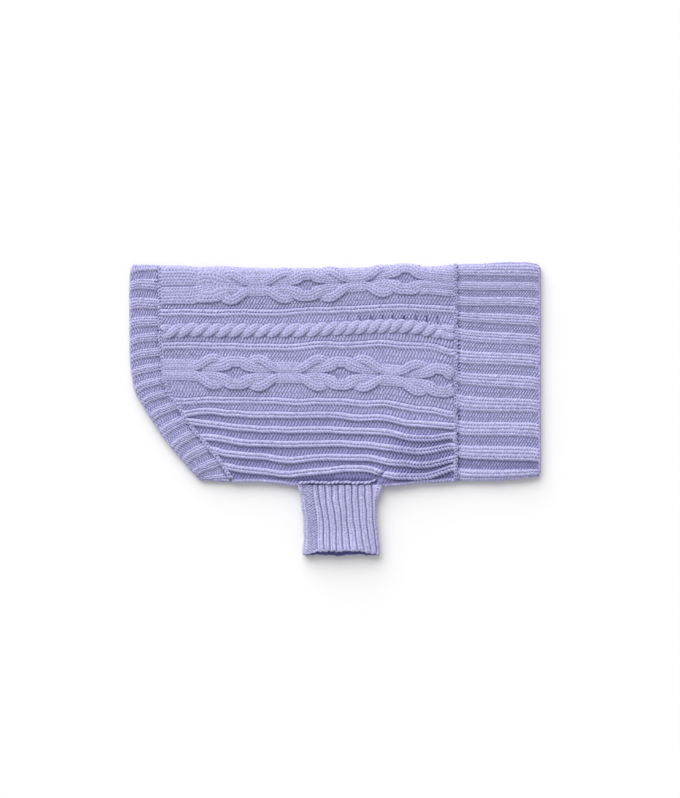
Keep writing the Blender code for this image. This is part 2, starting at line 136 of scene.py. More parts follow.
# creases of the near layer: (x0, y0, x1, y1, width, height)
CREASES = ((100, -58, 70, -66, 5, -1.0), (62, -66, 52, -40, 6, -0.7), (118, -8, 92, -20, 7, .8), (118, -46, 84, -50, 7, .9),
           (112, 20, 96, 34, 6, .6), (-45, -52, -70, -66, 5, .6), (-30, -66, 30, -64, 6, .5), (-150, 112, -172, 60, 9, .5),
           (-100, 136, 60, 134, 5, .3), (30, 8, 66, -4, 6, -.5), (84, 128, 112, 112, 7, .6), (-125, -20, -95, -60, 8, .5),
           (-37, -70.2, 40, -70.2, 1.5, -1.3), (34, -72, 56, -59, 1.9, -1.2), (46, -75, 64, -64, 3.2, 1.0), (-60, -68, -36, -73, 2.2, -.7),
           (-135, 136, -112, 116, 6, -.6), (48, 138, 30, 120, 6, -.5), (104, 134, 118, 100, 6, -.5))


class Wrap:
    """A flattened tube's skin.  a runs along the tube; s runs round it in mm,
    from the edge of its first fold over the near layer."""

    def __init__(self, stations, loop, count=1000):
        self.a = np.array(stations, float)
        rings, self.size = [], []
        for a in self.a:
            p = loop(float(a))
            step = np.linalg.norm(np.roll(p, -1, 0) - p, axis=1)
            run = np.concatenate([[0], np.cumsum(step)])
            v = np.linspace(0, run[-1], count, endpoint=False)
            rings.append(np.stack([np.interp(v, run, np.append(p[:, k], p[0, k])) for k in range(3)], 1))
            self.size.append(run[-1])
        self.size, self.p, self.m = np.array(self.size), np.array(rings), count
        ds = np.roll(self.p, -3, 1) - np.roll(self.p, 3, 1)
        da = np.gradient(self.p, self.a, axis=0)
        n = np.cross(ds, da)
        n /= np.linalg.norm(n, axis=2, keepdims=True)
        n = sum(np.roll(n, k, 1) for k in (-4, -2, 0, 2, 4))
        self.n = n / np.linalg.norm(n, axis=2, keepdims=True)

    def _mix(self, a):
        i = np.clip(np.searchsorted(self.a, a) - 1, 0, len(self.a) - 2)
        return i, np.clip((a - self.a[i]) / (self.a[i + 1] - self.a[i]), 0, 1)

    def length(self, a):
        i, f = self._mix(np.asarray(a, float))
        return self.size[i] * (1 - f) + self.size[i + 1] * f

    def at(self, a, s, h=0.0):
        a, s = np.broadcast_arrays(np.asarray(a, float), np.asarray(s, float))
        i, f = self._mix(a)
        v = np.mod(s / self.length(a), 1.0) * self.m
        j = np.minimum(v.astype(int), self.m - 1)
        g = (v - j)[..., None]
        k = (j + 1) % self.m
        f = f[..., None]
        out = []
        for t in (self.p, self.n):
            out.append((t[i, j] * (1 - g) + t[i, k] * g) * (1 - f) + (t[i + 1, j] * (1 - g) + t[i + 1, k] * g) * f)
        n = out[1] / np.linalg.norm(out[1], axis=-1, keepdims=True)
        return out[0] + n * np.asarray(h, float)[..., None]

    def find(self, a, value, axis=1, far=False):
        """s of the point of a section whose x or y is the value, on the near or the far layer."""
        a, value = np.broadcast_arrays(np.asarray(a, float), np.asarray(value, float))
        i, f = self._mix(a)
        res = np.empty(a.shape)
        low = self.p[:, :, axis].argmin(1)
        for n in np.ndindex(a.shape):
            got = []
            for q in (i[n], i[n] + 1):
                c = self.p[q, :, axis]
                e = low[q]
                step = self.size[q] / self.m
                if far:
                    got.append(np.interp(value[n], np.append(c[e:], c[0]), np.arange(e, self.m + 1) * step))
                else:
                    got.append(np.interp(-value[n], -c[:e + 1], np.arange(e + 1) * step))
            res[n] = got[0] * (1 - f[n]) + got[1] * f[n]
        return res

    def edge(self, a, axis=1):
        """s of the second fold's edge."""
        i, f = self._mix(np.asarray(a, float))
        low = self.p[:, :, axis].argmin(1) * self.size / self.m
        return low[i] * (1 - f) + low[i + 1] * f


def flat_loop(top, foot, w_top, w_foot, z_near, z_far, x_of=None, across=1, along=0, place=0.0):
    """One closed section of a pressed tube, as points; it starts at the edge of its first fold."""
    y = np.linspace(top - w_top, foot + w_foot, 170)
    share = (y[0] - y) / (y[0] - y[-1])
    zn = z_near(y, share)
    zf = z_far(y, share)
    up = np.linspace(0, PI / 2, 30)
    ya = top - w_top + w_top * np.cos(up)
    za = (zn[0] + zf[0]) / 2 + (zn[0] - zf[0]) / 2 * np.sin(up)
    dn = np.linspace(PI / 2, -PI / 2, 60)
    yb = foot + w_foot - w_foot * np.cos(dn)
    zb = (zn[-1] + zf[-1]) / 2 + (zn[-1] - zf[-1]) / 2 * np.sin(dn)
    lo = np.linspace(-PI / 2, 0, 30)[:-1]
    yc = top - w_top + w_top * np.cos(lo)
    zc = (zn[0] + zf[0]) / 2 + (zn[0] - zf[0]) / 2 * np.sin(lo)
    c = np.concatenate([ya[:-1], y, yb[1:-1], y[::-1], yc[1:]])
    z = np.concatenate([za[:-1], zn, zb[1:-1], zf[::-1], zc[1:]])
    out = np.zeros((len(c), 3))
    out[:, across] = c
    out[:, along] = place if x_of is None else x_of(c)
    out[:, 2] = z
    return out


# ------------------------------------------------------------------- stitches
KNIT_T = (-.5, -.41, -.25, -.09, 0, .09, .25, .41)
PURL_T = (-.5, -.37, -.25, -.13, 0, .13, .25, .37)
PLAIN_T = (-.5,)
PHASES = (0.0, .2, .5, .8)


def relief(kind, t, ph):
    """Height of a stitch, 0 in its creases to 1 on its yarn, and how far its
    course leans along the wale, in courses."""
    c = np.sin(PI * ph)
    if kind == "knit":
        leg = np.sqrt(np.clip(1 - (4 * abs(t) - 1) ** 2, 0, 1))
        return leg * (0.46 + 0.54 * c ** .7) + (1 - leg) * (-0.50 + 0.85 * c), 0.95 * 2 * abs(t)
    if kind == "slack":                              # purl lying flat and drawn out
        h, lean = relief("purl", t, ph)
        return .3 * h + .42, lean
    if kind == "purl":
        k = 0.5 + 0.5 * math.cos(4 * PI * t)
        hi, lo = 0.36 + 0.64 * k ** .7, 0.02 - 0.52 * k
        step = 0.5 + 0.5 * math.tanh(2.4 * math.cos(2 * PI * t)) / math.tanh(2.4)
        return lo + (hi - lo) * c ** 1.25, 0.95 + 0.5 * step - 0.13 * math.sin(4 * PI * t)
    return -0.1 + 0 * c, 0.95


class Cloth:
    """Collects grids and strips of one piece and makes its mesh."""

    def __init__(self, name):
        self.name, self.n = name, 0
        self.co, self.cav, self.st = [], [], []
        self.tri, self.uv, self.rect = [], [], []

    def points(self, co, painted_shade, stitch):
        co = co.reshape(-1, 3)
        self.co.append(co)
        self.cav.append(np.broadcast_to(np.asarray(painted_shade, float).reshape(-1), (len(co),)).copy())
        st = np.zeros((len(co), 3))
        st[:] = np.asarray(stitch, float).reshape(-1, 3)
        self.st.append(st)
        base, self.n = self.n, self.n + len(co)
        return np.arange(base, self.n)

    def faces(self, tri, uv, size):
        keep = (tri[:, 0] != tri[:, 1]) & (tri[:, 1] != tri[:, 2]) & (tri[:, 0] != tri[:, 2])
        self.tri.append(tri[keep])
        self.uv.append(uv[keep])
        self.rect.append(size)

    def grid(self, idx, size, flip=False, u=None, v=None):
        """Faces between rows and columns of points; rows run along the tube."""
        rows, cols = idx.shape
        u = np.linspace(0, 1, cols) if u is None else u
        v = np.linspace(0, 1, rows) if v is None else v
        uu, vv = np.meshgrid(u, v)
        uv = np.stack([uu, vv], 2)
        a, b, c, d = (slice(0, -1), slice(0, -1)), (slice(0, -1), slice(1, None)), (slice(1, None), slice(1, None)), (slice(1, None), slice(0, -1))
        tri, tex = [], []
        for three in ((a, b, c), (a, c, d)):
            if flip:
                three = three[::-1]
            tri.append(np.stack([idx[k].reshape(-1) for k in three], 1))
            tex.append(np.stack([uv[k].reshape(-1, 2) for k in three], 1))
        self.faces(np.concatenate(tri), np.concatenate(tex), size)

    def zip(self, one, two, p_one, p_two, flip=False, size=(40.0, 2.0)):
        """A strip between two rows of points of different count, matched by their shares."""
        i = j = 0
        tri, uv = [], []
        while i < len(one) - 1 or j < len(two) - 1:
            if j >= len(two) - 1 or (i < len(one) - 1 and p_one[i + 1] <= p_two[j + 1]):
                t = (one[i], one[i + 1], two[j])
                w = ((p_one[i], 0), (p_one[i + 1], 0), (p_two[j], 1))
                i += 1
            else:
                t = (one[i], two[j + 1], two[j])
                w = ((p_one[i], 0), (p_two[j + 1], 1), (p_two[j], 1))
                j += 1
            tri.append(t if flip else t[::-1])
            uv.append(w if flip else w[::-1])
        self.faces(np.array(tri), np.array(uv, float), size)

    def make(self, material):
        co = np.concatenate(self.co)
        tri = np.concatenate(self.tri)
        # lay the grids' rectangles out on shelves
        order = sorted(range(len(self.rect)), key=lambda k: -self.rect[k][1])
        wide = max(max(r[0] for r in self.rect), math.sqrt(sum(r[0] * r[1] for r in self.rect)) * 1.08)
        x = y = tall = 0.0
        spots = {}
        pad = wide * 0.004
        for k in order:
            w, h = self.rect[k]
            if x + w > wide * 1.0001:
                x, y, tall = 0.0, y + tall + pad, 0.0
            spots[k] = (x, y)
            x += w + pad
            tall = max(tall, h)
        side = max(wide + pad, y + tall + pad)
        uv = np.concatenate([(self.uv[k] * self.rect[k] + spots[k]) / side for k in range(len(self.rect))])
        used = np.unique(tri)
        remap = np.full(len(co), -1)
        remap[used] = np.arange(len(used))
        tri = remap[tri]
        co = co[used]
        # what would reach through the table is pressed flat against it
        low = co[:, 2] < 0.5
        co[low, 2] = 0.06 + 0.44 * np.exp((co[low, 2] - 0.5) / 0.44)
        co = co * MM
        mesh = bpy.data.meshes.new(self.name)
        mesh.vertices.add(len(co))
        mesh.vertices.foreach_set("co", co.astype(np.float32).reshape(-1))
        mesh.loops.add(len(tri) * 3)
        mesh.loops.foreach_set("vertex_index", tri.reshape(-1).astype(np.int32))
        mesh.polygons.add(len(tri))
        mesh.polygons.foreach_set("loop_start", (np.arange(len(tri)) * 3).astype(np.int32))
        mesh.update(calc_edges=True)
        layer = mesh.uv_layers.new(name="OFBake")
        layer.data.foreach_set("uv", uv.reshape(-1).astype(np.float32))
        # painted shade per vertex, read by the material to darken creases and holes
        cav = mesh.attributes.new("painted_shade", "FLOAT", "POINT")
        cav.data.foreach_set("value", np.concatenate(self.cav)[used].astype(np.float32))
        st = mesh.attributes.new("stitch", "FLOAT_VECTOR", "POINT")
        st.data.foreach_set("vector", np.concatenate(self.st)[used].astype(np.float32).reshape(-1))
        mesh.shade_smooth()
        mesh.materials.append(material)
        obj = bpy.data.objects.new(self.name, mesh)
        bpy.context.scene.collection.objects.link(obj)
        print(self.name, len(tri), "triangles")
        return obj


def sheet_grid(cloth, wrap, wales, a0, a1, pitch, first=None, last=None, closed=False,
               fade=(0.0, 0.0), amp=1.0, phases=PHASES, sparse=1.0, loose=None, painted_end_shade=None):
    """The stitched face.  wales are (kind, s line, s line, lift): each s line is
    a function of a, and the lift is a function of t across the wale.  first and
    last give the a where each column starts and ends, from a and s."""
    courses = int(math.ceil((a1 - a0) / pitch)) + 3
    u = (np.arange(-2, courses)[:, None] + np.array(phases)[None]).reshape(-1)
    ph = np.tile(np.array(phases), courses + 2)
    nominal = np.clip(a0 + pitch * u, a0 - 3, a1 + 3)
    S, H, X, C, T = [], [], [], [], []
    for w, (kind, lo, hi, lift) in enumerate(wales):
        ts = {"knit": KNIT_T, "purl": PURL_T, "slack": PURL_T, "plain": PLAIN_T}[kind]
        if sparse < 1 and kind != "plain":
            ts = (-.5, -.25, 0, .25)
        if w == len(wales) - 1 and not closed:
            ts = ts + (.5,)
        s0, s1 = lo(nominal), hi(nominal)
        tension = np.repeat(RNG.normal(0, 1, courses + 2), len(phases))
        wander = np.repeat(RNG.normal(0, 1, courses + 2), len(phases))
        slow = np.interp(nominal, np.linspace(a0 - 4, a1 + 4, 16), RNG.normal(0, 1, 16))
        tension = tension + slow
        for t in ts:
            h, lean = relief(kind, t, ph)
            if kind == "knit" and not closed:            # the two legs of a lone rib part more
                h = h - .36 * np.sin(PI * ph) * (1 - math.sqrt(max(0.0, 1 - (4 * abs(t) - 1) ** 2)))
            size = KNIT_HIGH if kind == "knit" else PURL_HIGH
            if kind == "plain":
                size = 0.6
            up = lift(t) if callable(lift) else lift
            S.append(s0 + (t + .5) * (s1 - s0) + 0.16 * wander * (1 - (2 * t) ** 2))
            X.append(a0 + pitch * (u + lean - 0.5) + 0.16 * wander)
            H.append(h * size * amp * (1 + 0.09 * tension) + up + 0.05 * tension)
            # painted shade: the creases between legs and loops are coloured darker, and wales sunk below the face
            # (negative lift) darker still
            shade = .95 * np.clip((h + .45) / 1.35, 0, 1) ** .85 if kind == "knit" else np.clip((h + .5) / 1.3, 0, 1) ** 1.05
            C.append(shade * (1 + .05 * tension) * math.exp(min(0.0, up) * .6))
            q = 4 * abs(t) - 1
            T.append(np.stack([np.full_like(u, q), u, np.full_like(u, w + t)], 1))
    S, H, X, C, T = np.stack(S, 1), np.stack(H, 1), np.stack(X, 1), np.stack(C, 1), np.stack(T, 1)
    lo_a = np.full(X.shape, float(a0)) if first is None else first(X, S)
    hi_a = np.full(X.shape, float(a1)) if last is None else last(X, S)
    # the holes are sunk, and also painted darker as shade inside them
    if loose is not None:
        hole = loose(X, S, ph[:, None])
        H, C = H + hole, C * np.exp(np.minimum(hole, 0) * .9)
    below, above = X <= lo_a + 0.05, X >= hi_a - 0.05
    X = np.clip(X, lo_a, hi_a)
    flat = np.mean([PURL_HIGH, KNIT_HIGH]) * amp * 0.55
    if fade[0]:
        f = ease(X - lo_a, 0, fade[0])
        H, C = flat + (H - flat) * f, 0.8 + (C - 0.8) * f
    if fade[1]:
        f = ease(hi_a - X, 0, fade[1])
        H, C = flat + (H - flat) * f, 0.8 + (C - 0.8) * f
    # painted shade: the last courses before a shaded rim are coloured darker
    if painted_end_shade is not None:
        C = C * painted_end_shade(X, S)
    P = wrap.at(X, S, H)
    rows, cols = X.shape
    idx = cloth.points(P, C, T).reshape(rows, cols)
    # every row before the start is the start's own row, and so at the end
    start = np.maximum(below.sum(0) - 1, 0)
    stop = np.minimum(rows - above.sum(0), rows - 1)
    r = np.clip(np.arange(rows)[:, None], start[None], stop[None])
    idx = idx[r, np.arange(cols)[None]]
    v = (nominal - nominal[0]) / (nominal[-1] - nominal[0])
    if closed:
        idx = np.concatenate([idx, idx[:, :1]], 1)
    size = (float(np.ptp(S[rows // 2])), float(a1 - a0))
    cloth.grid(idx, size, v=v)
    ends = []
    for edge_row in (start, stop):
        e_idx = idx[0 if edge_row is start else -1]
        c = np.arange(cols)
        ends.append((e_idx, X[edge_row, c], S[edge_row, c], H[edge_row, c]))
    sides = (idx[:, 0], idx[:, -1], X[r[:, 0], 0], X[r[:, -1], -1], S[r[:, 0], 0], S[r[:, -1], -1])
    return ends, sides


def roll(cloth, wrap, end, outward, radius, closed, steps=4, cav=.72):
    """Rounds a free edge over to the inner face, stitch by stitch."""
    e_idx, a, s, h = end
    rows = [e_idx[:len(a)]]
    bump = .5 + .5 * np.sin(2 * PI * s / 2.9 + .6 * np.sin(s * .31))
    for k in range(1, steps + 1):
        al = PI * k / steps
        r = radius * (.8 + .45 * bump)
        P = wrap.at(a + outward * r * math.sin(al), s, h - radius + radius * math.cos(al))
        # painted shade: the rolled rim is coloured darker, more between its bumps
        rows.append(cloth.points(P, cav * (.75 + .25 * bump), (0, 0, 0)))
    idx = np.stack(rows)
    if closed:
        idx = np.concatenate([idx, idx[:, :1]], 1)
    cloth.grid(idx, (float(np.ptp(s)), 5.0), flip=outward < 0)
    return idx[-1]


def lining(cloth, wrap, v0, v1, rows, cols, first, last, closed, scale=.35, deep=0.0):
    """The inner face, smooth, coloured in painted shade: a mid tone, darker still towards its last rows by deep."""
    v = np.linspace(v0, v1, cols)
    f = np.linspace(0, 1, rows)
    a0, a1 = first(v), last(v)
    A = a0[None] + (a1 - a0)[None] * f[:, None]
    P = wrap.at(A, v[None] * wrap.length(A))
    idx = cloth.points(P, 0.45 - deep * ease(f, .4, .75)[:, None] * np.ones(cols), (0, 0, 0)).reshape(rows, cols)
    if closed:
        idx[:, -1] = idx[:, 0]
    cloth.grid(idx, (200 * (v1 - v0) * scale * 2, float(np.max(a1 - a0)) * scale), flip=True)
    return idx, v


def strand(cloth, wrap, a, s, half, lift, legs, pitch, crown=1.15, power=3.8, cols=3, amp=.68,
           foot=-.5, phases=PHASES, seed=1, bead=.8):
    """One strand of a cable or one chain of stitches along a path on the skin."""
    a, s, half, lift = (np.asarray(x, float) for x in np.broadcast_arrays(a, s, half, lift))
    run = np.concatenate([[0], np.cumsum(np.hypot(np.diff(a), np.diff(s)))])
    courses = max(3, int(round(run[-1] / pitch)))
    u = (np.arange(courses)[:, None] + np.array(phases)[None]).reshape(-1)
    u = np.append(u, courses)
    ph = np.append(np.tile(np.array(phases), courses), 0.0)
    rng = np.random.default_rng(seed)
    edges = np.linspace(-1, 1, legs + 1)
    w, t = [-1.02], [0.0]
    for n in range(legs):
        inner = {2: (.2, .7), 3: (.12, .5, .88), 4: (.1, .35, .65, .9)}[cols]
        w.append(edges[n] if n else -0.985)
        t.append(0.0)
        for f in inner:
            w.append(edges[n] + (edges[n + 1] - edges[n]) * f)
            t.append(f)
    w += [0.985, 1.02]
    t += [0.0, 0.0]
    w, t = np.array(w), np.array(t)
    leg = np.sqrt(np.clip(1 - (2 * t - 1) ** 2, 0, 1))
    which = np.clip(np.floor((w + 1) / 2 * legs - 1e-6), 0, legs - 1).astype(int)
    turn = np.where(which % 2 == 0, 1 - t, t)
    turn[(t == 0)] = np.array([(1.0 if k % 2 == 0 else 0.0) for k in np.clip(np.round((w[t == 0] + 1) / 2 * legs).astype(int), 0, legs)])
    place = (u[:, None] + 0.8 * (turn[None] - .5)) * (run[-1] / courses)
    place = np.clip(place, 0, run[-1])
    A, S = np.interp(place, run, a), np.interp(place, run, s)
    W, Z = np.interp(place, run, half), np.interp(place, run, lift)
    ta = np.gradient(a, run + np.arange(len(run)) * 1e-9)
    ts = np.gradient(s, run + np.arange(len(run)) * 1e-9)
    size = np.hypot(ta, ts)
    ta, ts = ta / size, ts / size
    TA, TS = np.interp(place, run, ta), np.interp(place, run, ts)
    c = 0.5 - 0.5 * np.cos(2 * PI * ph)[:, None]
    jit = np.repeat(rng.normal(0, 1, (courses, len(w))), len(phases), 0)
    jit = np.concatenate([jit, jit[-1:]], 0)
    rel = leg[None] * (1 - bead + bead * c ** .5) + (1 - leg[None]) * (-.18 + .6 * c)
    dome = crown * np.clip(1 - np.abs(w) ** power, 0, 1) ** .8
    H = Z + dome[None] + rel * amp * (1 + .07 * jit)
    side = np.abs(w) > 1
    H[:, side] = foot + Z[:, side] * .5
    near = np.abs(np.abs(w) - .985) < 1e-6
    H[:, near] = (Z + foot * .4 + .5)[:, near]
    A2, S2 = A - TS * W * w[None], S + TA * W * w[None]
    P = wrap.at(A2, S2, H)
    # painted shade: darker in the creases between stitches and down the sides of the strand, darkest on the feet under
    # its edges
    cav = (1 - (1 - np.clip((rel + .4) / 1.3, 0, 1)) * min(1.0, amp / .7)) * (0.62 + .38 * np.clip(dome / max(crown, .1) * 1.6, 0, 1))[None]
    cav = np.where(side[None], .25, cav)
    st = np.stack([np.broadcast_to(2 * t - 1, P.shape[:2]), np.broadcast_to(u[:, None], P.shape[:2]), np.broadcast_to(w * legs / 2, P.shape[:2])], 2)
    idx = cloth.points(P, cav, st).reshape(P.shape[:2])
    cloth.grid(np.concatenate([idx, idx[:, :1]], 1), (float(np.max(W)) * 2.6, run[-1]))
    k = np.arange(1, idx.shape[1] - 1)
    for row, way in ((idx[0], 1), (idx[-1], -1)):
        tri = np.stack([np.full(len(k), row[0]), row[k + 1], row[k]], 1)[:, ::way]
        uv = np.zeros((len(k), 3, 2))
        uv[:, 1], uv[:, 2] = np.stack([(k + 1) / len(row), np.ones(len(k))], 1), np.stack([k / len(row), np.ones(len(k))], 1)
        cloth.faces(tri, uv[:, ::way], (float(np.max(W)), 1.5))
    return idx


# ------------------------------------------------------------------- material
def wool(name, base, deep, tone=1.0):
    mat = bpy.data.materials.new(name)
    mat.use_nodes = True
    nt = mat.node_tree
    n, l = nt.nodes, nt.links
    for x in list(n):
        n.remove(x)
    out = n.new("ShaderNodeOutputMaterial")
    bsdf = n.new("ShaderNodeBsdfPrincipled")
    l.new(bsdf.outputs["BSDF"], out.inputs["Surface"])
    bsdf.inputs["Roughness"].default_value = 0.9
    bsdf.inputs["Specular IOR Level"].default_value = 0.18
    bsdf.inputs["Sheen Weight"].default_value = 0.22
    bsdf.inputs["Sheen Roughness"].default_value = 0.55
    bsdf.inputs["Sheen Tint"].default_value = (.85, .84, 1.0, 1)
    # painted shade: a per-vertex value, 0 in the creases and holes between stitches and 1 on the crests of the yarn,
    # blends the base colour towards a dark shade colour
    cav = n.new("ShaderNodeAttribute")
    cav.attribute_name = "painted_shade"
    coord = n.new("ShaderNodeTexCoord")
    ramp = n.new("ShaderNodeValToRGB")
    ramp.color_ramp.elements[0].position = 0.0
    ramp.color_ramp.elements[0].color = (*deep, 1)
    ramp.color_ramp.elements[1].position = 0.85
    ramp.color_ramp.elements[1].color = (*base, 1)
    mid = ramp.color_ramp.elements.new(0.45)
    mid.color = (*[0.36 * d + 0.64 * b for d, b in zip(deep, base)], 1)
    l.new(cav.outputs["Fac"], ramp.inputs["Fac"])
    # the yarn is a melange: slow drift between dye lots and fine fibre flecks
    drift = n.new("ShaderNodeTexNoise")
    drift.inputs["Scale"].default_value = 38
    drift.inputs["Detail"].default_value = 3
    l.new(coord.outputs["Object"], drift.inputs["Vector"])
    fleck = n.new("ShaderNodeTexNoise")
    fleck.inputs["Scale"].default_value = 480
    fleck.inputs["Detail"].default_value = 4
    fleck.inputs["Roughness"].default_value = .7
    l.new(coord.outputs["Object"], fleck.inputs["Vector"])
    add = n.new("ShaderNodeMath")
    add.operation = "MULTIPLY_ADD"
    add.inputs[1].default_value = 0.16
    add.inputs[2].default_value = 0.92
    l.new(drift.outputs["Fac"], add.inputs[0])
    add2 = n.new("ShaderNodeMath")
    add2.operation = "MULTIPLY_ADD"
    add2.inputs[1].default_value = 1.5
    add2.inputs[2].default_value = 0.25
    l.new(fleck.outputs["Fac"], add2.inputs[0])
    mul = n.new("ShaderNodeMath")
    mul.operation = "MULTIPLY"
    l.new(add.outputs[0], mul.inputs[0])
    l.new(add2.outputs[0], mul.inputs[1])
    vm = n.new("ShaderNodeVectorMath")
    vm.operation = "SCALE"
    l.new(ramp.outputs["Color"], vm.inputs[0])
    l.new(mul.outputs[0], vm.inputs["Scale"])
    l.new(vm.outputs[0], bsdf.inputs["Base Color"])
    # plies twisted round each other, and loose fibres
    st = n.new("ShaderNodeAttribute")
    st.attribute_name = "stitch"
    sep = n.new("ShaderNodeSeparateXYZ")
    l.new(st.outputs["Vector"], sep.inputs[0])
    ply = n.new("ShaderNodeMath")
    ply.operation = "MULTIPLY_ADD"
    ply.inputs[1].default_value = 14.0
    l.new(sep.outputs["Y"], ply.inputs[0])
    across = n.new("ShaderNodeMath")
    across.operation = "MULTIPLY"
    across.inputs[1].default_value = 2.6
    l.new(sep.outputs["X"], across.inputs[0])
    l.new(across.outputs[0], ply.inputs[2])
    wave = n.new("ShaderNodeMath")
    wave.operation = "SINE"
    l.new(ply.outputs[0], wave.inputs[0])
    fibre = n.new("ShaderNodeTexNoise")
    fibre.inputs["Scale"].default_value = 950
    fibre.inputs["Detail"].default_value = 3
    l.new(coord.outputs["Object"], fibre.inputs["Vector"])
    mix = n.new("ShaderNodeMath")
    mix.operation = "MULTIPLY_ADD"
    mix.inputs[1].default_value = 0.22
    l.new(wave.outputs[0], mix.inputs[0])
    l.new(fibre.outputs["Fac"], mix.inputs[2])
    bump = n.new("ShaderNodeBump")
    bump.inputs["Strength"].default_value = 0.8
    bump.inputs["Distance"].default_value = 0.0007
    l.new(mix.outputs[0], bump.inputs["Height"])
    l.new(bump.outputs["Normal"], bsdf.inputs["Normal"])
    return mat


# BASE is the yarn's own colour; the second colour given to each wool is a painted shade, for the creases and holes
# between stitches
BASE = (0.498, 0.488, 0.762)
PAINTED_SHADE_COLOUR = (0.078, 0.070, 0.285)
wool_body = wool("wool_cable", BASE, PAINTED_SHADE_COLOUR)
wool_rib = wool("wool_rib", BASE, PAINTED_SHADE_COLOUR)
wool_fine = wool("wool_fine_rib", (0.525, 0.514, 0.780), (0.084, 0.076, 0.280))


# ------------------------------------------------------------------- body
def seam_x(y):
    """x of the hem seam at a height y."""
    rows = sorted((r[3], r[2]) for r in HEM_ROWS)
    ys, xs = [r[0] for r in rows], [r[1] for r in rows]
    y = np.asarray(y, float)
    x = np.interp(y, ys, xs)
    return x + np.where(y < ys[0], (ys[0] - y) * 0.7, 0)


def body_top(x, share, y, wall):
    z = 7.2 - GROUND_DROP + smooth(SWELL, share) + smooth(LIE_BACK, x) * (1 - share) + smooth(LIE_BELLY, x) * share
    for c in CREASES:
        z = z + trough(x, y, *c)
    z = z + 0.22 * np.sin(x * .071 + y * .045) + 0.18 * np.sin(x * .033 - y * .083 + 1.3)
    return z - wall


def body_loop(wall):
    def loop(x):
        top, foot = float(smooth(SPINE, x)) - wall, float(smooth(BELLY, x)) + wall
        w_top = 8.0 - wall
        w_foot = (5.2 - 2.0 * float(ease(x, -52, -40) * (1 - ease(x, 50, 62)))) - wall * .6
        return flat_loop(top, foot, w_top, w_foot,
                         lambda y, q: body_top(x, q, y, wall),
                         lambda y, q: 1.75 + wall + 0 * y, place=x)
    return loop


stations = np.linspace(-178, 124, 130)
skin = Wrap(stations, body_loop(0.0))
under = Wrap(stations, body_loop(WALL))


class Line:
    """s of a line drawn on the body, near and far, read from a fine table."""
    xs = np.linspace(-177, 123, 76)

    def __init__(self, table=None, offset=0.0, far=False, s=None):
        self.v = s if s is not None else skin.find(self.xs, smooth(table, self.xs) if not callable(table) else table(self.xs), far=far)
        self.v = self.v + offset

    def __call__(self, x):
        return np.interp(x, self.xs, self.v)

    def shift(self, d):
        return Line(s=self.v + d)


def between(a, b, f):
    return Line(s=a.v * (1 - f) + b.v * f)


def rib_lift(t, high=RIB_LIFT):
    return high * math.sqrt(max(0.0, 1 - abs(2 * t) ** 3.2)) - (0.55 if t == .5 else .3 if t == -.5 else 0)


def body_lines(far):
    """Boundaries of the wales in order from the spine fold to the belly fold."""
    sign = -1.0 if far else 1.0
    total = Line(s=skin.length(Line.xs))
    zero = Line(s=np.zeros_like(Line.xs)) if not far else total
    fold = Line(s=skin.edge(Line.xs))
    mid = {k: Line(t, far=far) for k, t in (("A", RING_A), ("R1", R1), ("P", ROPE), ("R2", R2), ("C", RING_C), ("R3", R3),
                                            ("L1", L1), ("L2", L2), ("L3", L3), ("L4", L4), ("L5", L5))}
    # no rib runs quite true
    for n, k in enumerate(mid):
        wob = np.interp(Line.xs, np.linspace(-177, 123, 24), np.random.default_rng(90 + n).normal(0, .38, 24))
        mid[k] = Line(s=mid[k].v + wob * (.5 if k in "ACP" else 1))
    d = lambda k, o: mid[k].shift(sign * o)
    w = []

    def run(kind, a, b, count=1, lift=0.0):
        for n in range(count):
            w.append((kind, between(a, b, n / count), between(a, b, (n + 1) / count), lift))

    h = 3.8
    run("slack", zero, d("A", -8.6), 2, .4)
    run("plain", d("A", -8.6), d("A", -5.8), 1)
    run("purl", d("A", -5.8), d("A", 5.8), 2)
    run("purl", d("A", 5.8), d("R1", -h), 3)
    run("knit", d("R1", -h), d("R1", h), 1, rib_lift)
    run("purl", d("R1", h), d("P", -3.0), 2)
    run("plain", d("P", -3.0), d("P", 4.8), 1)
    run("purl", d("P", 4.8), d("R2", -h), 1)
    run("knit", d("R2", -h), d("R2", h), 1, rib_lift)
    run("purl", d("R2", h), d("C", -6.2), 3)
    run("purl", d("C", -6.2), d("C", 6.2), 2)
    run("purl", d("C", 6.2), d("R3", -h), 3)
    run("knit", d("R3", -h), d("R3", h), 1, rib_lift)
    names = ["R3", "L1", "L2", "L3", "L4", "L5"]
    # the purl between the lower ribs sinks, and sheet_grid paints it darker as shade
    for one, two, sink in zip(names, names[1:], (-.15, -.6, -.65, -.8, -.9)):
        run("purl", d(one, h), d(two, -h), 1, sink)
        run("knit", d(two, -h), d(two, h), 1, lambda t: rib_lift(t, 1.35))
    run("purl", d("L5", h), fold.shift(-sign * 3.6), 1, -1.1)
    return w, mid, zero, fold


def seam_start(X, S):
    y = skin.at(np.clip(X, -176, 120), S)[..., 1]
    return seam_x(y) + 0.6


near_wales, mid, zero, fold = body_lines(False)
far_wales, fmid, total, _ = body_lines(True)
edge_rib = ("knit", fold.shift(-3.6), fold.shift(3.6), lambda t: 1.0 * (1 - abs(2 * t) ** 3))
back_flip = [(k, b, a, l) for k, a, b, l in far_wales[::-1]]      # belly to spine, s rising
SPLIT = 9.2
spine_under = [("purl", Line(s=skin.length(Line.xs) - 6.3 - skin.length(Line.xs)), zero, 0.0)]
spine_under = [("plain", Line(s=np.full_like(Line.xs, -SPLIT)), Line(s=np.full_like(Line.xs, -6.3)), 0.0),
               ("purl", Line(s=np.full_like(Line.xs, -6.3)), zero, 0.0)]
near_all = spine_under + near_wales + [edge_rib]
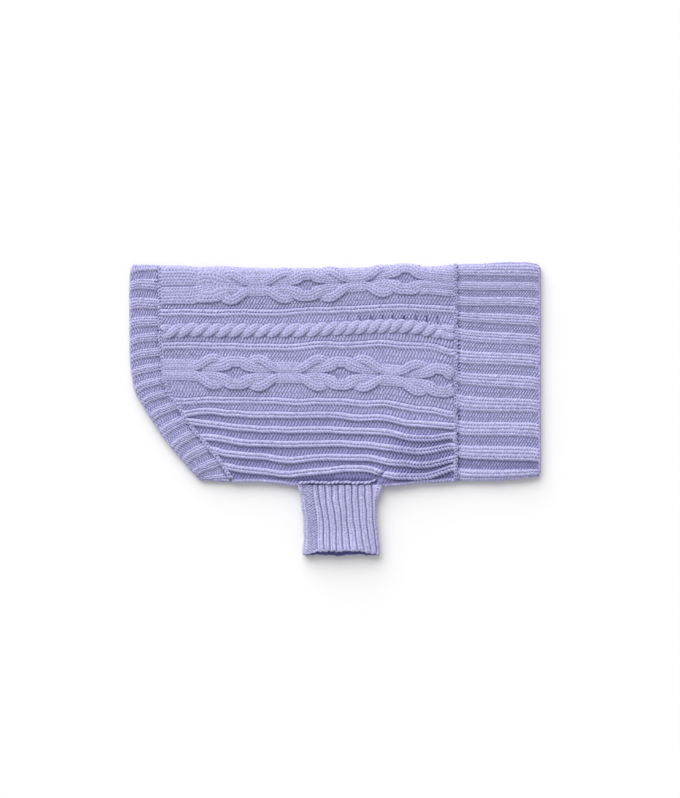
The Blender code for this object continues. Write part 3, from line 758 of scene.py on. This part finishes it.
# the far layer runs from the belly rib to the split under the spine
far_all = []
for k, a, b, l in back_flip:
    far_all.append((k, a, b, l))
far_all = far_all[:-1]                                            # the wale at the spine fold belongs to the near piece
last_kind, last_a, last_b, last_l = far_all[-1]
far_all[-1] = (last_kind, last_a, Line(s=skin.length(Line.xs) - SPLIT), last_l)


def stretched(X, S, ph):
    """Open holes where the ground is pulled towards the collar seam."""
    y = skin.at(np.clip(X, -176, 120), S)[..., 1]
    zone = ease(X, 52, 66) * (1 - ease(X, 112, 119)) * (ease(y, -74, -70) * (1 - ease(y, -30, -24)))
    zone = zone + .7 * ease(X, 22, 30) * (1 - ease(X, 100, 108)) * ease(y, 87.5, 90) * (1 - ease(y, 93, 96))
    groove = ease(X, -40, -35) * (1 - ease(X, 38, 43))
    slit = sum(k * np.exp(-((X - x + .06 * (y - 90)) / .95) ** 2)
               for x, k in zip(np.array(LOBES[14:]) - 3.3, (.4, .65, .9, .85, 1.0, 1.25, .75, .95, .65)))
    slit = slit * ease(y, 83, 86) * (1 - ease(y, 92, 94.5))
    # a tuck runs up from the end of the sleeve's seam, the cloth bulges beside it
    across, along = (X - 40) * .763 - (y + 73) * .646, (X - 40) * .646 + (y + 73) * .763
    tuck = ease(along, -2, 1.5) * (1 - ease(along, 11, 19))
    return (-0.9 * zone * (0.5 + 0.5 * np.cos(2 * PI * ph)) ** 2 - 1.9 * np.minimum(slit, 1)
            - 1.5 * groove * np.exp(-((y + 71.5) / 1.1) ** 2) - .9 * groove * ease(-y, 74.2, 75.6)
            - 1.7 * tuck * np.exp(-(across / 1.1) ** 2) + 1.2 * tuck * np.exp(-((across - 3.8) / 2.2) ** 2))


def half_piece(name, wales, far):
    cloth = Cloth(name)
    ends, sides = sheet_grid(cloth, skin, wales, -176.0, 120.3, COURSE, first=seam_start,
                             sparse=1.0 if not far else .5, phases=PHASES if not far else (0.0, .33, .67),
                             loose=stretched if not far else None)
    L = skin.length(0.0)
    s_lo, s_hi = wales[0][1](0.0), wales[-1][2](0.0)
    v0, v1 = s_lo / L, s_hi / L

    def first(v):
        y = under.at(np.full_like(v, -120.0), v * under.length(-120.0))[..., 1]
        return seam_x(y) + 0.6

    idx, v = lining(cloth, under, v0, v1, 14, 46, first, lambda v: np.full_like(v, 120.3), False)
    # close the two ends and the two long sides
    for (e_idx, a, s, h), row, flip in ((ends[0], 0, True), (ends[1], -1, False)):
        share = (s / skin.length(a))
        share = (share - share[0]) / (share[-1] - share[0])
        cloth.zip(e_idx, idx[row], share, (v - v0) / (v1 - v0), flip=not flip, size=(60.0, 1.5))
    for k, col, flip in ((0, 0, False), (1, -1, True)):
        e = sides[k]
        keep = np.concatenate([[True], e[1:] != e[:-1]])
        e, a = e[keep], sides[2 + k][keep]
        share = (a - a[0]) / (a[-1] - a[0])
        cloth.zip(e, idx[:, col], share, np.linspace(0, 1, idx.shape[0]), flip=not flip, size=(60.0, 1.5))
    return cloth


near = half_piece("body_near", near_all, False).make(wool_body)
far = half_piece("body_far", far_all, True).make(wool_body)


# ------------------------------------------------------------------- cables
# a ring's strands from its eye outwards: (distance from the eye, off the
# cable's middle, half width, lift)
RING_S1 = ((0, -9.0, 2.8, -1.8), (9, -10.0, 3.0, -1.4), (13, -11.6, 3.8, -.5), (18, -13.4, 4.6, .5), (24, -13.7, 4.9, 1.05),
           (31, -10.2, 4.9, 1.1), (36, -6.6, 4.7, .9), (42, -3.8, 4.1, .35), (52, -3.2, 3.6, .05))
RING_S2 = ((0, -11.2, 5.7, 1.0), (6, -10.7, 6.0, 1.05), (9.5, -8.5, 6.6, 1.05), (13.5, -6.6, 5.9, .9), (18, -5.3, 5.2, .5), (24, -4.4, 4.9, .05),
           (30, -4.6, 4.8, -.35), (36, -5.8, 4.9, -.15), (42, -6.1, 5.0, .0), (52, -6.0, 5.0, .05))


def ring_strands(cloth, line, eyes, x0, x1, sign, seed, cols=3, phases=PHASES, first_eye_closed=False):
    lines_a = line if first_eye_closed else None
    x = np.arange(x0, x1 + .5, 1.0)
    eye = np.array(eyes, float)
    near_eye = eye[np.abs(x[:, None] - eye[None]).argmin(1)]
    dx = np.abs(x - near_eye)
    rng = np.random.default_rng(seed)
    count = 0
    for flip in (1, -1):
        for table in (RING_S2, RING_S1):
            off = smooth(table, dx, 1)
            half = smooth(table, dx, 2)
            lift = smooth(table, dx, 3)
            drift = np.interp(x, np.linspace(x0, x1, 9), rng.normal(0, .35, 9))
            if first_eye_closed:                     # the first eye is shut, its lobes fill it
                shut = 1 - ease(dx, 12, 26)
                shut = shut * (near_eye == eyes[0])
                off = off * (1 - .22 * shut)
                half = half * (1 + .42 * shut)
                lift = lift - 1.2 * (1 - ease(x, x0, x0 + 9))
            if first_eye_closed:                     # past its last eye this cable lies in plain rows
                rest = ease(x, 79, 93)
                to = (-3.5, 3.6, .35) if table is RING_S2 else (-10.2, 3.7, .3)
                off, half, lift = (q + (t - q) * rest for q, t in zip((off, half, lift), to))
            # the ends run into the seams
            lift = lift - .7 * ease(x, x1 - 5, x1)
            if line is lines_a and flip == 1:        # foreshortened where it turns over the spine
                off, half = off * .87, half * .95
            s = line(x) + sign * flip * (off + drift)
            strand(cloth, skin, x, s, half, lift + .3, 4 if table is RING_S2 else 3, COURSE, seed=seed * 10 + count, cols=cols, phases=phases)
            count += 1


def rope(cloth, line, sign, seed, cols=3, phases=PHASES):
    x = np.arange(-173.0, 119.1, .8)
    knots = np.array(LOBES)
    turn = PI * np.interp(x, np.concatenate([[knots[0] - 13.3], knots, [knots[-1] + 16]]), np.arange(-1, len(knots) + 1))
    out = ease(x, 100, 110)
    for k in (0, 1):
        th = turn + k * PI
        off = 3.3 * np.sin(th) * (1 - out) + out * (4.6 if k == 1 else -2.7)
        up = 1.35 * np.cos(th) * (1 - out)
        half = 4.1 + .25 * np.cos(th) - .2 * out
        strand(cloth, skin, x, line(x) - sign * off, half, up + .7, 3, COURSE * .98, seed=seed + k, crown=1.45, power=2.6, amp=.52, cols=cols, phases=phases)


def block(cloth, line, x0, sign, seed, cols=3, phases=PHASES):
    """Plain knit from the hem seam, halves bending in towards the first crossing."""
    x = np.arange(x0, -114.9, 1.0)
    bend, end = ease(x, -146, -120), ease(x, -126, -115)
    s = line(x) + sign * (9.2 - 5.6 * bend)
    strand(cloth, skin, x, s, 9.2 - 3.4 * bend, .75 + .55 * bend * (1 - end) - 1.4 * end, 6, COURSE, seed=seed, power=8, cols=cols, phases=phases)
    x = np.arange(x0, -121.9, 1.0)
    bend, end = ease(x, -146, -128), ease(x, -138, -124)
    s = line(x) - sign * (9.2 - 1.8 * bend)
    strand(cloth, skin, x, s, 9.2 - 1.5 * bend, .75 - 1.5 * end, 6, COURSE, seed=seed + 1, power=8, cols=cols, phases=phases)


def cables(name, lines, sign, cols, phases):
    cloth = Cloth(name)
    ring_strands(cloth, lines["A"], EYES_A, -141.0, 119.0, sign, 21, cols, phases, first_eye_closed=True)
    ring_strands(cloth, lines["C"], EYES_C, -172.5, 119.0, sign, 31, cols, phases)
    rope(cloth, lines["P"], sign, 41, cols, phases)
    block(cloth, lines["A"], -173.6, sign, 51, cols, phases)
    return cloth.make(wool_body)


cables_near = cables("cables_near", mid, 1.0, 3, PHASES)
cables_far = cables("cables_far", fmid, -1.0, 2, (0.0, .5))


# ------------------------------------------------------------------- seams
def chain(cloth, wrap, a, s, half, lift, pitch, seed, crown=.4):
    rng = np.random.default_rng(seed)
    wob = np.interp(np.arange(len(a)), np.linspace(0, len(a), 80), rng.normal(0, .35, 80))
    up = np.interp(np.arange(len(a)), np.linspace(0, len(a), 90), rng.normal(0, .18, 90))
    strand(cloth, wrap, a + wob, s, half, lift + up, 2, pitch, seed=seed, crown=crown, power=3, amp=1.5, foot=-.3, bead=.9)


seams = Cloth("seam_chains")
# collar seam, all round
n = 360
L = skin.length(120.4)
ring_s = np.linspace(0, L * .999, n)
chain(seams, skin, 120.5 + .85 * np.sin(2 * PI * ring_s / 6.1 + .8 * np.sin(ring_s * .17)), ring_s, 2.0 + .35 * np.sin(ring_s * .83), .5, 3.4, 61)
# hem seam, near and far
for far_side, seed in ((False, 71), (True, 72)):
    ys = np.linspace(141.5, -69.5, 300)
    xs = seam_x(ys)
    xs = np.convolve(np.pad(xs, 6, "reflect", reflect_type="odd"), np.ones(13) / 13, "valid")
    s = skin.find(np.clip(xs, -176, 120), ys, far=far_side)
    if far_side:
        xs, s = xs[::-1], s[::-1]
    chain(seams, skin, xs + .3 + .5 * np.sin(np.arange(len(xs)) * PI / 2.9), s, 2.3, .3, 4.0, seed)


# ------------------------------------------------------------------- collar
def collar_loop(wall):
    def loop(x):
        top, foot = float(smooth(COLLAR_CUTS, x, 1)) - wall, float(smooth(COLLAR_CUTS, x, 2)) + wall
        lie = float(smooth(COLLAR_CUTS, x, 3))

        def near_z(y, q):
            z = lie - .9 - wall + .18 * np.sin(y * .09 + x * .03) + .12 * np.sin(y * .05 - x * .06 + 2)
            return z
        return flat_loop(top, foot, 6.5 - wall, 6.0 - wall, near_z, lambda y, q: 1.6 + wall + 0 * y, place=x)
    return loop


c_stations = np.concatenate([[118.0], np.linspace(119.5, 203, 30), [204, 205, 206, 207, 208.5]])
c_skin = Wrap(c_stations, collar_loop(0.0))
c_under = Wrap(c_stations, collar_loop(WALL + .3))


class ALine:
    """A line on a tube from values at a few places along it."""

    def __init__(self, at, values):
        self.at, self.values = np.array(at, float), np.array(values, float)

    def __call__(self, a):
        return np.interp(a, self.at, self.values)


def mixed(a, b, f):
    return ALine(a.at, a.values * (1 - f) + b.values * f)


def rib_group(a, b, knit, wales_purl, wales_knit, high, edge=.75, sink=0.0):
    """Purl then knit wales between the lower edges of two ribs, in the order of s."""
    out = []
    order = [("purl", wales_purl), ("knit", wales_knit)]
    cuts = [0, 1 - knit, 1]
    for (kind, count), lo, hi in zip(order, cuts, cuts[1:]):
        for k in range(count):
            f0, f1 = lo + (hi - lo) * k / count, lo + (hi - lo) * (k + 1) / count
            if kind == "knit":
                c0, c1 = 2 * k / count - 1, 2 * (k + 1) / count - 1

                def lift(t, c0=c0, c1=c1):
                    q = c0 + (c1 - c0) * (t + .5)
                    return high * (1 - min(1.0, abs(q)) ** 3.4) - (edge if q > .99 else .1 if q < -.99 else 0)
            else:
                lift = -sink
            out.append((kind, mixed(a, b, f0), mixed(a, b, f1), lift))
    return out


def collar_wales():
    at = [COLLAR_SEAM, 124.5, 130.0, 145.0, 165.0, 185.0, 195.0, 200.0, 203.5, COLLAR_EDGE]
    tug = [-2.6, -1.2, -.4, 0, 0, 0, 0, .5, 1.4, 2.4]              # ribs fan out of the seam and flare at the free edge
    rows = []
    for far_side in (False, True):
        lines = []
        for n, r in enumerate(COLLAR_RIBS):
            vals = []
            for q, k in zip(at, tug):
                f = (q - COLLAR_SEAM) / 81.0
                y = r[0] + (r[1] - r[0]) * min(f, 1.0) + .45 * math.sin(q * .06 + n * 2.1)
                vals.append(float(c_skin.find(q, y, far=far_side)) + (-1 if far_side else 1) * k * (1 if q > 150 else min(1.0, n / 4)))
            lines.append(ALine(at, vals))
        rows.append(lines)
    near_l, far_l = rows
    fold_l = ALine(at, [float(c_skin.edge(q)) for q in at])
    whole = ALine(at, [float(c_skin.length(q)) for q in at])
    w = []
    spine_lo = ALine(at, [-1.0] * len(at))
    w += rib_group(spine_lo, near_l[0], .80, 1, 2, .8, 1.0)
    for a, b, edge, sink in zip(near_l, near_l[1:], (1.1, 1.1, 1.2, 1.5, 1.5, 1.4, 1.5, 1.7, 1.9), (.05, .05, .1, .1, .05, .1, .1, .15, .35)):
        w += rib_group(a, b, .60, 2, 2, 1.0, edge, sink)
    w += rib_group(near_l[-1], ALine(at, fold_l.values + 4), .62, 2, 2, 1.0, .8, .95)
    prev = ALine(at, fold_l.values + 4)
    for b in far_l[::-1]:
        w += rib_group(prev, b, .60, 2, 2, .8, .2)
        prev = b
    w += rib_group(prev, ALine(at, whole.values - 1.0), .6, 1, 2, .8, .2)
    return w


def linked(X, S, ph):
    """Holes where the collar is linked to the body, loop by loop."""
    beat = .5 + .5 * np.cos(2 * PI * S / 3.7 + 1.1 * np.sin(S * .19) + .8 * np.sin(S * .53))
    some = .25 + .75 * (.5 + .5 * np.sin(S * .31 + 2 * np.sin(S * .11))) * ease(S, 20, 60)
    return -2.0 * np.exp(-((X - 123.9 - .6 * np.sin(S * .7)) / 1.5) ** 2) * beat ** 1.3 * some


def tube(name, outer, inner, wales, a0, a1, pitch, material, radius, last=None, fade=(0.0, 0.0), roll_first=False,
         amp=1.0, cols=60, rows=8, loose=None, rim_shade=None):
    cloth = Cloth(name)
    # rim_shade, when given, is painted shade for the rim, the courses before it and the lining
    ends, _ = sheet_grid(cloth, outer, wales, a0, a1, pitch, closed=True, last=last, fade=fade, amp=amp, loose=loose,
                         painted_end_shade=None if rim_shade is None else lambda X, S: 1 - (1 - rim_shade(X, S) / .72) * ease(X, a1 - 3, a1 - 1))
    rims = []
    for n, (end, way) in enumerate(zip(ends, (-1, 1))):
        free = (n == 1) != roll_first
        if free:
            rims.append(roll(cloth, outer, end, way, radius, True, cav=.72 if rim_shade is None else rim_shade(end[1], end[2])))
        else:
            rims.append(np.append(end[0][:len(end[1])], end[0][0]))
    low = lambda v: np.full_like(v, a0)
    if last is None:
        high = lambda v: np.full_like(v, a1)
    else:
        high = lambda v: last(np.full_like(v, a1), v * outer.length(np.full_like(v, a1)))
    s_first = ends[0][2][0] / outer.length(ends[0][1][0])
    idx, v = lining(cloth, inner, s_first, s_first + 1, rows, cols, low, high, True, deep=0.0 if rim_shade is None else .42)
    for n, rim in enumerate(rims):
        e, a, s, h = ends[n]
        share = s / outer.length(a)
        share = np.append(share - share[0], 1.0)
        cloth.zip(rim, idx[0 if n == 0 else -1], share, v - s_first, flip=n == 1, size=(60.0, 1.5))
    return cloth.make(material)


collar = tube("collar_knit", c_skin, c_under, collar_wales(), COLLAR_SEAM + .4, COLLAR_EDGE - 1.0, COLLAR_COURSE, wool_rib, .9,
              fade=(0.0, 2.2), cols=80, loose=linked)


# ------------------------------------------------------------------- hem band
def hem_cut(a):
    """x at a height y across the band, a mm in from its free edge."""
    f = a / 30.0
    rows = sorted((r[1] + (r[3] - r[1]) * f, r[0] + (r[2] - r[0]) * f) for r in HEM_ROWS)
    ys, xs = np.array([r[0] for r in rows]), np.array([r[1] for r in rows])
    fine = np.linspace(ys[0], ys[-1], 400)
    fx = np.interp(fine, ys, xs)
    fx = np.convolve(np.pad(fx, 9, "reflect", reflect_type="odd"), np.ones(19) / 19, "valid")
    return fine, fx, ys[-1], ys[0]


def hem_loop(wall):
    def loop(a):
        fine, fx, top, foot = hem_cut(a)
        slope = (fx[8] - fx[0]) / (fine[8] - fine[0])
        x_of = lambda y: np.interp(y, fine, fx) + np.where(y < fine[0], (y - fine[0]) * slope, 0)
        lie = 7.0 - .7 - .8 * max(0.0, 1 - (a + .5) / 5.0) ** 2
        return flat_loop(top - wall, foot + wall, 5.5 - wall, 5.5 - wall,
                         lambda y, q: lie - wall + .15 * np.sin(y * .11) + .25 * np.sin(y * .037 + 1),
                         lambda y, q: 1.5 + wall + 0 * y, x_of=x_of)
    return loop


h_stations = np.linspace(-2.5, 31.5, 24)
h_skin = Wrap(h_stations, hem_loop(0.0))
h_under = Wrap(h_stations, hem_loop(WALL))


def hem_wales():
    at = [0.0, 2.5, 5.0, 8.0, 12.0, 20.0, 30.0]
    hook = [3.0, 1.9, 1.0, .3, 0, 0, 0]                           # the ribs bend down as they reach the free edge
    marks = {}
    for far_side in (False, True):
        lines = []
        for n, r in enumerate(HEM_ROWS[1:-1]):
            bow = .5 * math.sin(n * 1.9)
            lines.append(ALine(at, [float(h_skin.find(q, r[1] + (r[3] - r[1]) * q / 30 + bow * math.sin(PI * q / 30), far=far_side))
                                    + (-1 if far_side else 1) * k for q, k in zip(at, hook)]))
        marks[far_side] = lines
    fold_l = ALine(at, [float(h_skin.edge(q)) for q in at])
    whole = ALine(at, [float(h_skin.length(q)) for q in at])
    w = []
    near_l, far_l = marks[False], marks[True]
    w += [("knit", ALine(at, [-1.5] * len(at)), near_l[0], rib_lift)]
    for a, b in zip(near_l, near_l[1:]):
        w += rib_group(a, b, .60, 1, 2, 1.4, 2.3, .15)
    w += rib_group(near_l[-1], ALine(at, fold_l.values + 1.5), .58, 1, 2, 1.2)
    prev = ALine(at, fold_l.values + 1.5)
    w += [("purl", prev, far_l[-1], 0.0)]
    prev = far_l[-1]
    for b in far_l[::-1][1:]:
        w += rib_group(prev, b, .60, 1, 2, .9, .2)
        prev = b
    w += [("purl", prev, ALine(at, whole.values - 1.5), 0.0)]
    return w


def sewn(X, S, ph):
    """Holes along the seam with the body.  X is the depth from the free edge."""
    beat = .5 + .5 * np.cos(2 * PI * S / 3.4 + 1.3 * np.sin(S * .17) + .7 * np.sin(S * .61))
    some = .15 + .85 * (.5 + .5 * np.sin(S * .37 + 2 * np.sin(S * .13)))
    return -1.3 * np.exp(-((X - 27.0 - .6 * np.sin(S * .6)) / 1.3) ** 2) * beat ** 1.5 * some


hem = tube("hem_knit", h_skin, h_under, hem_wales(), .9, 29.2, HEM_COURSE, wool_rib, .9, roll_first=True, fade=(1.4, 0.0), cols=70, rows=5, loose=sewn)


# ------------------------------------------------------------------- sleeves
def sleeve_loop(base, wall, mouth):
    def loop(a):
        y = -a
        rear, front = (float(smooth(tuple(reversed(SLEEVE_CUTS)), y, k)) for k in (1, 2))
        z0 = base
        gape = mouth * float(ease(a, 118, 147))
        front, rear = front + .35 * math.sin(a * .33 + base), rear + .35 * math.sin(a * .29 + 2 + base)
        return flat_loop(front - wall, rear + wall, 3.4 - wall, 3.4 - wall,
                         lambda x, q: z0 + 4.6 - .45 - wall + .2 * np.sin(x * .2 + a * .07) + gape * np.sin(PI * q) ** .8 * (1 + .12 * np.sin(x * .31 + 1)),
                         lambda x, q: z0 + .85 + wall + 0 * x, across=0, along=1, place=y)
    return loop


def sleeve(name, base, set_back, mouth):
    st = np.linspace(72.5, 149, 40)
    outer, inner = Wrap(st, sleeve_loop(base, 0.0, mouth)), Wrap(st, sleeve_loop(base, 1.45, mouth))
    at = [76.0, 111.0, 146.0]
    at = list(np.linspace(74.0, 148.0, 13))
    marks = {}
    for far_side in (False, True):
        marks[far_side] = []
        for n, g in enumerate(SLEEVE_GAPS):
            xs = smooth(((76, g[0]), (93, g[0] * .62 + g[1] * .38), (111, g[1]), (129, g[1] * .5 + g[2] * .5), (146, g[2])), at)
            xs = xs + .3 * np.sin(np.array(at) * .13 + n * 1.7) + RNG.normal(0, .12, len(at))
            marks[far_side].append(ALine(at, [float(outer.find(a, x, axis=0, far=far_side)) for a, x in zip(at, xs)]))
    edge = ALine(at, [float(outer.edge(a, axis=0)) for a in at])
    whole = ALine(at, [float(outer.length(a)) for a in at])
    near_l, far_l = marks[False][::-1], marks[True]
    w = []
    lift = lambda t: .55 * (1 - abs(2 * t) ** 3)

    def ribs(lines):
        for a, b in zip(lines, lines[1:]):
            w.append(("plain", ALine(at, a.values - .45), ALine(at, a.values + .45), -.65))
            w.append(("knit", ALine(at, a.values + .45), ALine(at, b.values - .45), lift))

    start = ALine(at, [-1.0] * len(at))
    ribs([start] + near_l)
    last = near_l[-1]
    w.append(("plain", ALine(at, last.values - .55), ALine(at, last.values + .55), -.25))
    purl_end = ALine(at, edge.values - 5.0)
    for k in range(2):
        w.append(("purl", mixed(ALine(at, last.values + .55), purl_end, k / 2), mixed(ALine(at, last.values + .55), purl_end, (k + 1) / 2), .1))
    w.append(("knit", purl_end, ALine(at, edge.values + 1.0), lambda t: .1))
    f0 = ALine(at, edge.values + 1.0)
    for k in range(2):
        w.append(("purl", mixed(f0, ALine(at, far_l[0].values - .55), k / 2), mixed(f0, ALine(at, far_l[0].values - .55), (k + 1) / 2), 0.0))
    ribs(far_l)
    w.append(("plain", ALine(at, far_l[-1].values - .55), ALine(at, far_l[-1].values + .55), -.25))
    w.append(("knit", ALine(at, far_l[-1].values + .55), ALine(at, whole.values - 1.0), lift))

    def last_a(X, S):
        z = outer.at(np.clip(X, 73, 148), S)[..., 2] - base
        x = outer.at(np.clip(X, 73, 148), S)[..., 0]
        edge_wave = .5 * np.sin(x * .17 + 1) + .35 * np.sin(x * .43) + .25 * np.sin(x * 1.05 + base)
        middle = np.sqrt(np.clip(1 - ((x - 6.2) / 38.0) ** 2, 0, 1)) ** 1.5
        beads = .42 * np.sin(2 * PI * x / 5.2 + .8 * np.sin(x * .23))
        return 145.6 + .9 * edge_wave - .4 - set_back * middle * ease(z, 1.6, 3.6) + beads * ease(z, 1.6, 3.6)

    # painted shade: inside the near sleeve's open mouth, its rim, last courses and lining are coloured darker
    def rim_shade(a, s):
        P = outer.at(np.clip(a, 73, 148), s)
        inside = 1.25 * (1 - ease(P[..., 2] - base, 1.2, 2.6)) * ease(P[..., 0], -27, -22) * (1 - ease(P[..., 0], 6, 18))
        return .72 - (.5 * inside if set_back else 0)

    return tube(name, outer, inner, w, 75.6, 145.6, SLEEVE_COURSE, wool_fine, .72, last=last_a, fade=(0.0, .8), amp=.75, cols=44, rows=10,
                rim_shade=rim_shade)


sleeve_near = sleeve("sleeve_near_knit", 5.3, 4.4, 4.0)
sleeve_far = sleeve("sleeve_far_knit", 0.0, 0.0, 0.4)
# bead chain where the near sleeve is linked on
n = 120
bead_x = np.linspace(-36.0, 41.0, n)
bead_y = -73.0 + .35 * np.sin(bead_x * .21) + .25 * np.sin(bead_x * .53 + 1) + 1.6 * ease(bead_x, 34, 41)
strand(seams, skin, bead_x, skin.find(bead_x, bead_y), 1.35 + .35 * np.sin(bead_x * .9) * np.sin(bead_x * .31), .4 + .35 * np.sin(bead_x * .47 + 1) * np.sin(bead_x * .19), 1, 4.1, crown=.5, power=2.4, amp=1.9, foot=-.8, seed=81, bead=1.0)
seams = seams.make(wool_body)

# ------------------------------------------------------------------- frame
stage_pieces = {"near": near, "far": far}
for piece, nodes, slot in ((near, ("body",), "cable_knit"), (far, ("body",), "cable_knit"), (cables_near, ("body",), "cable_knit"),
                           (cables_far, ("body",), "cable_knit"), (seams, ("body",), "cable_knit"), (collar, ("collar",), "rib_knit"),
                           (hem, ("hem_band",), "rib_knit"), (sleeve_near, ("sleeve_near",), "fine_rib_knit"),
                           (sleeve_far, ("sleeve_far",), "fine_rib_knit")):
    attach(piece, "root")
    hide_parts(*nodes)

# ------------------------------------------------------------------- studio
floor_mat = bpy.data.materials.new("paper")
floor_mat.use_nodes = True
fb = floor_mat.node_tree.nodes["Principled BSDF"]
fb.inputs["Base Color"].default_value = (.888, .888, .893, 1)
fb.inputs["Roughness"].default_value = 0.9
fb.inputs["Specular IOR Level"].default_value = 0.1
bpy.ops.mesh.primitive_plane_add(size=6.0, location=(0, 0, -0.0002))
floor = bpy.context.active_object
floor.name = "floor"
floor.data.materials.append(floor_mat)

world = bpy.data.worlds.new("studio")
world.use_nodes = True
world.node_tree.nodes["Background"].inputs["Color"].default_value = (1, 1, 1, 1)
world.node_tree.nodes["Background"].inputs["Strength"].default_value = 0.54
bpy.context.scene.world = world


def lamp(name, place, aim, size, power, colour=(1, 1, 1)):
    data = bpy.data.lights.new(name, "AREA")
    data.shape = "DISK"
    data.size = size
    data.energy = power
    data.color = colour
    obj = bpy.data.objects.new(name, data)
    bpy.context.scene.collection.objects.link(obj)
    from mathutils import Vector
    obj.location = place
    obj.rotation_euler = (Vector(aim) - Vector(place)).to_track_quat("-Z", "Y").to_euler()
    return obj


sun_data = bpy.data.lights.new("key", "SUN")
sun_data.energy = 3.54
sun_data.angle = math.radians(62)
sun = bpy.data.objects.new("key", sun_data)
bpy.context.scene.collection.objects.link(sun)
from mathutils import Vector
sun.rotation_euler = (-Vector((-0.42, 1.0, 0.68))).to_track_quat("-Z", "Y").to_euler()

cam_data = bpy.data.cameras.new("camera")
cam_data.sensor_fit = "VERTICAL"
cam_data.sensor_height = 24.0
cam_data.sensor_width = 24.0
cam_data.lens = 24.0 * 3.0 / 0.798
camera = bpy.data.objects.new("camera", cam_data)
bpy.context.scene.collection.objects.link(camera)
camera.location = (0.005, 0.01025, 3.005)
camera.rotation_euler = (0, 0, 0)
bpy.context.scene.camera = camera
bpy.context.scene.view_settings.view_transform = "Standard"
bpy.context.scene.view_settings.look = "None"
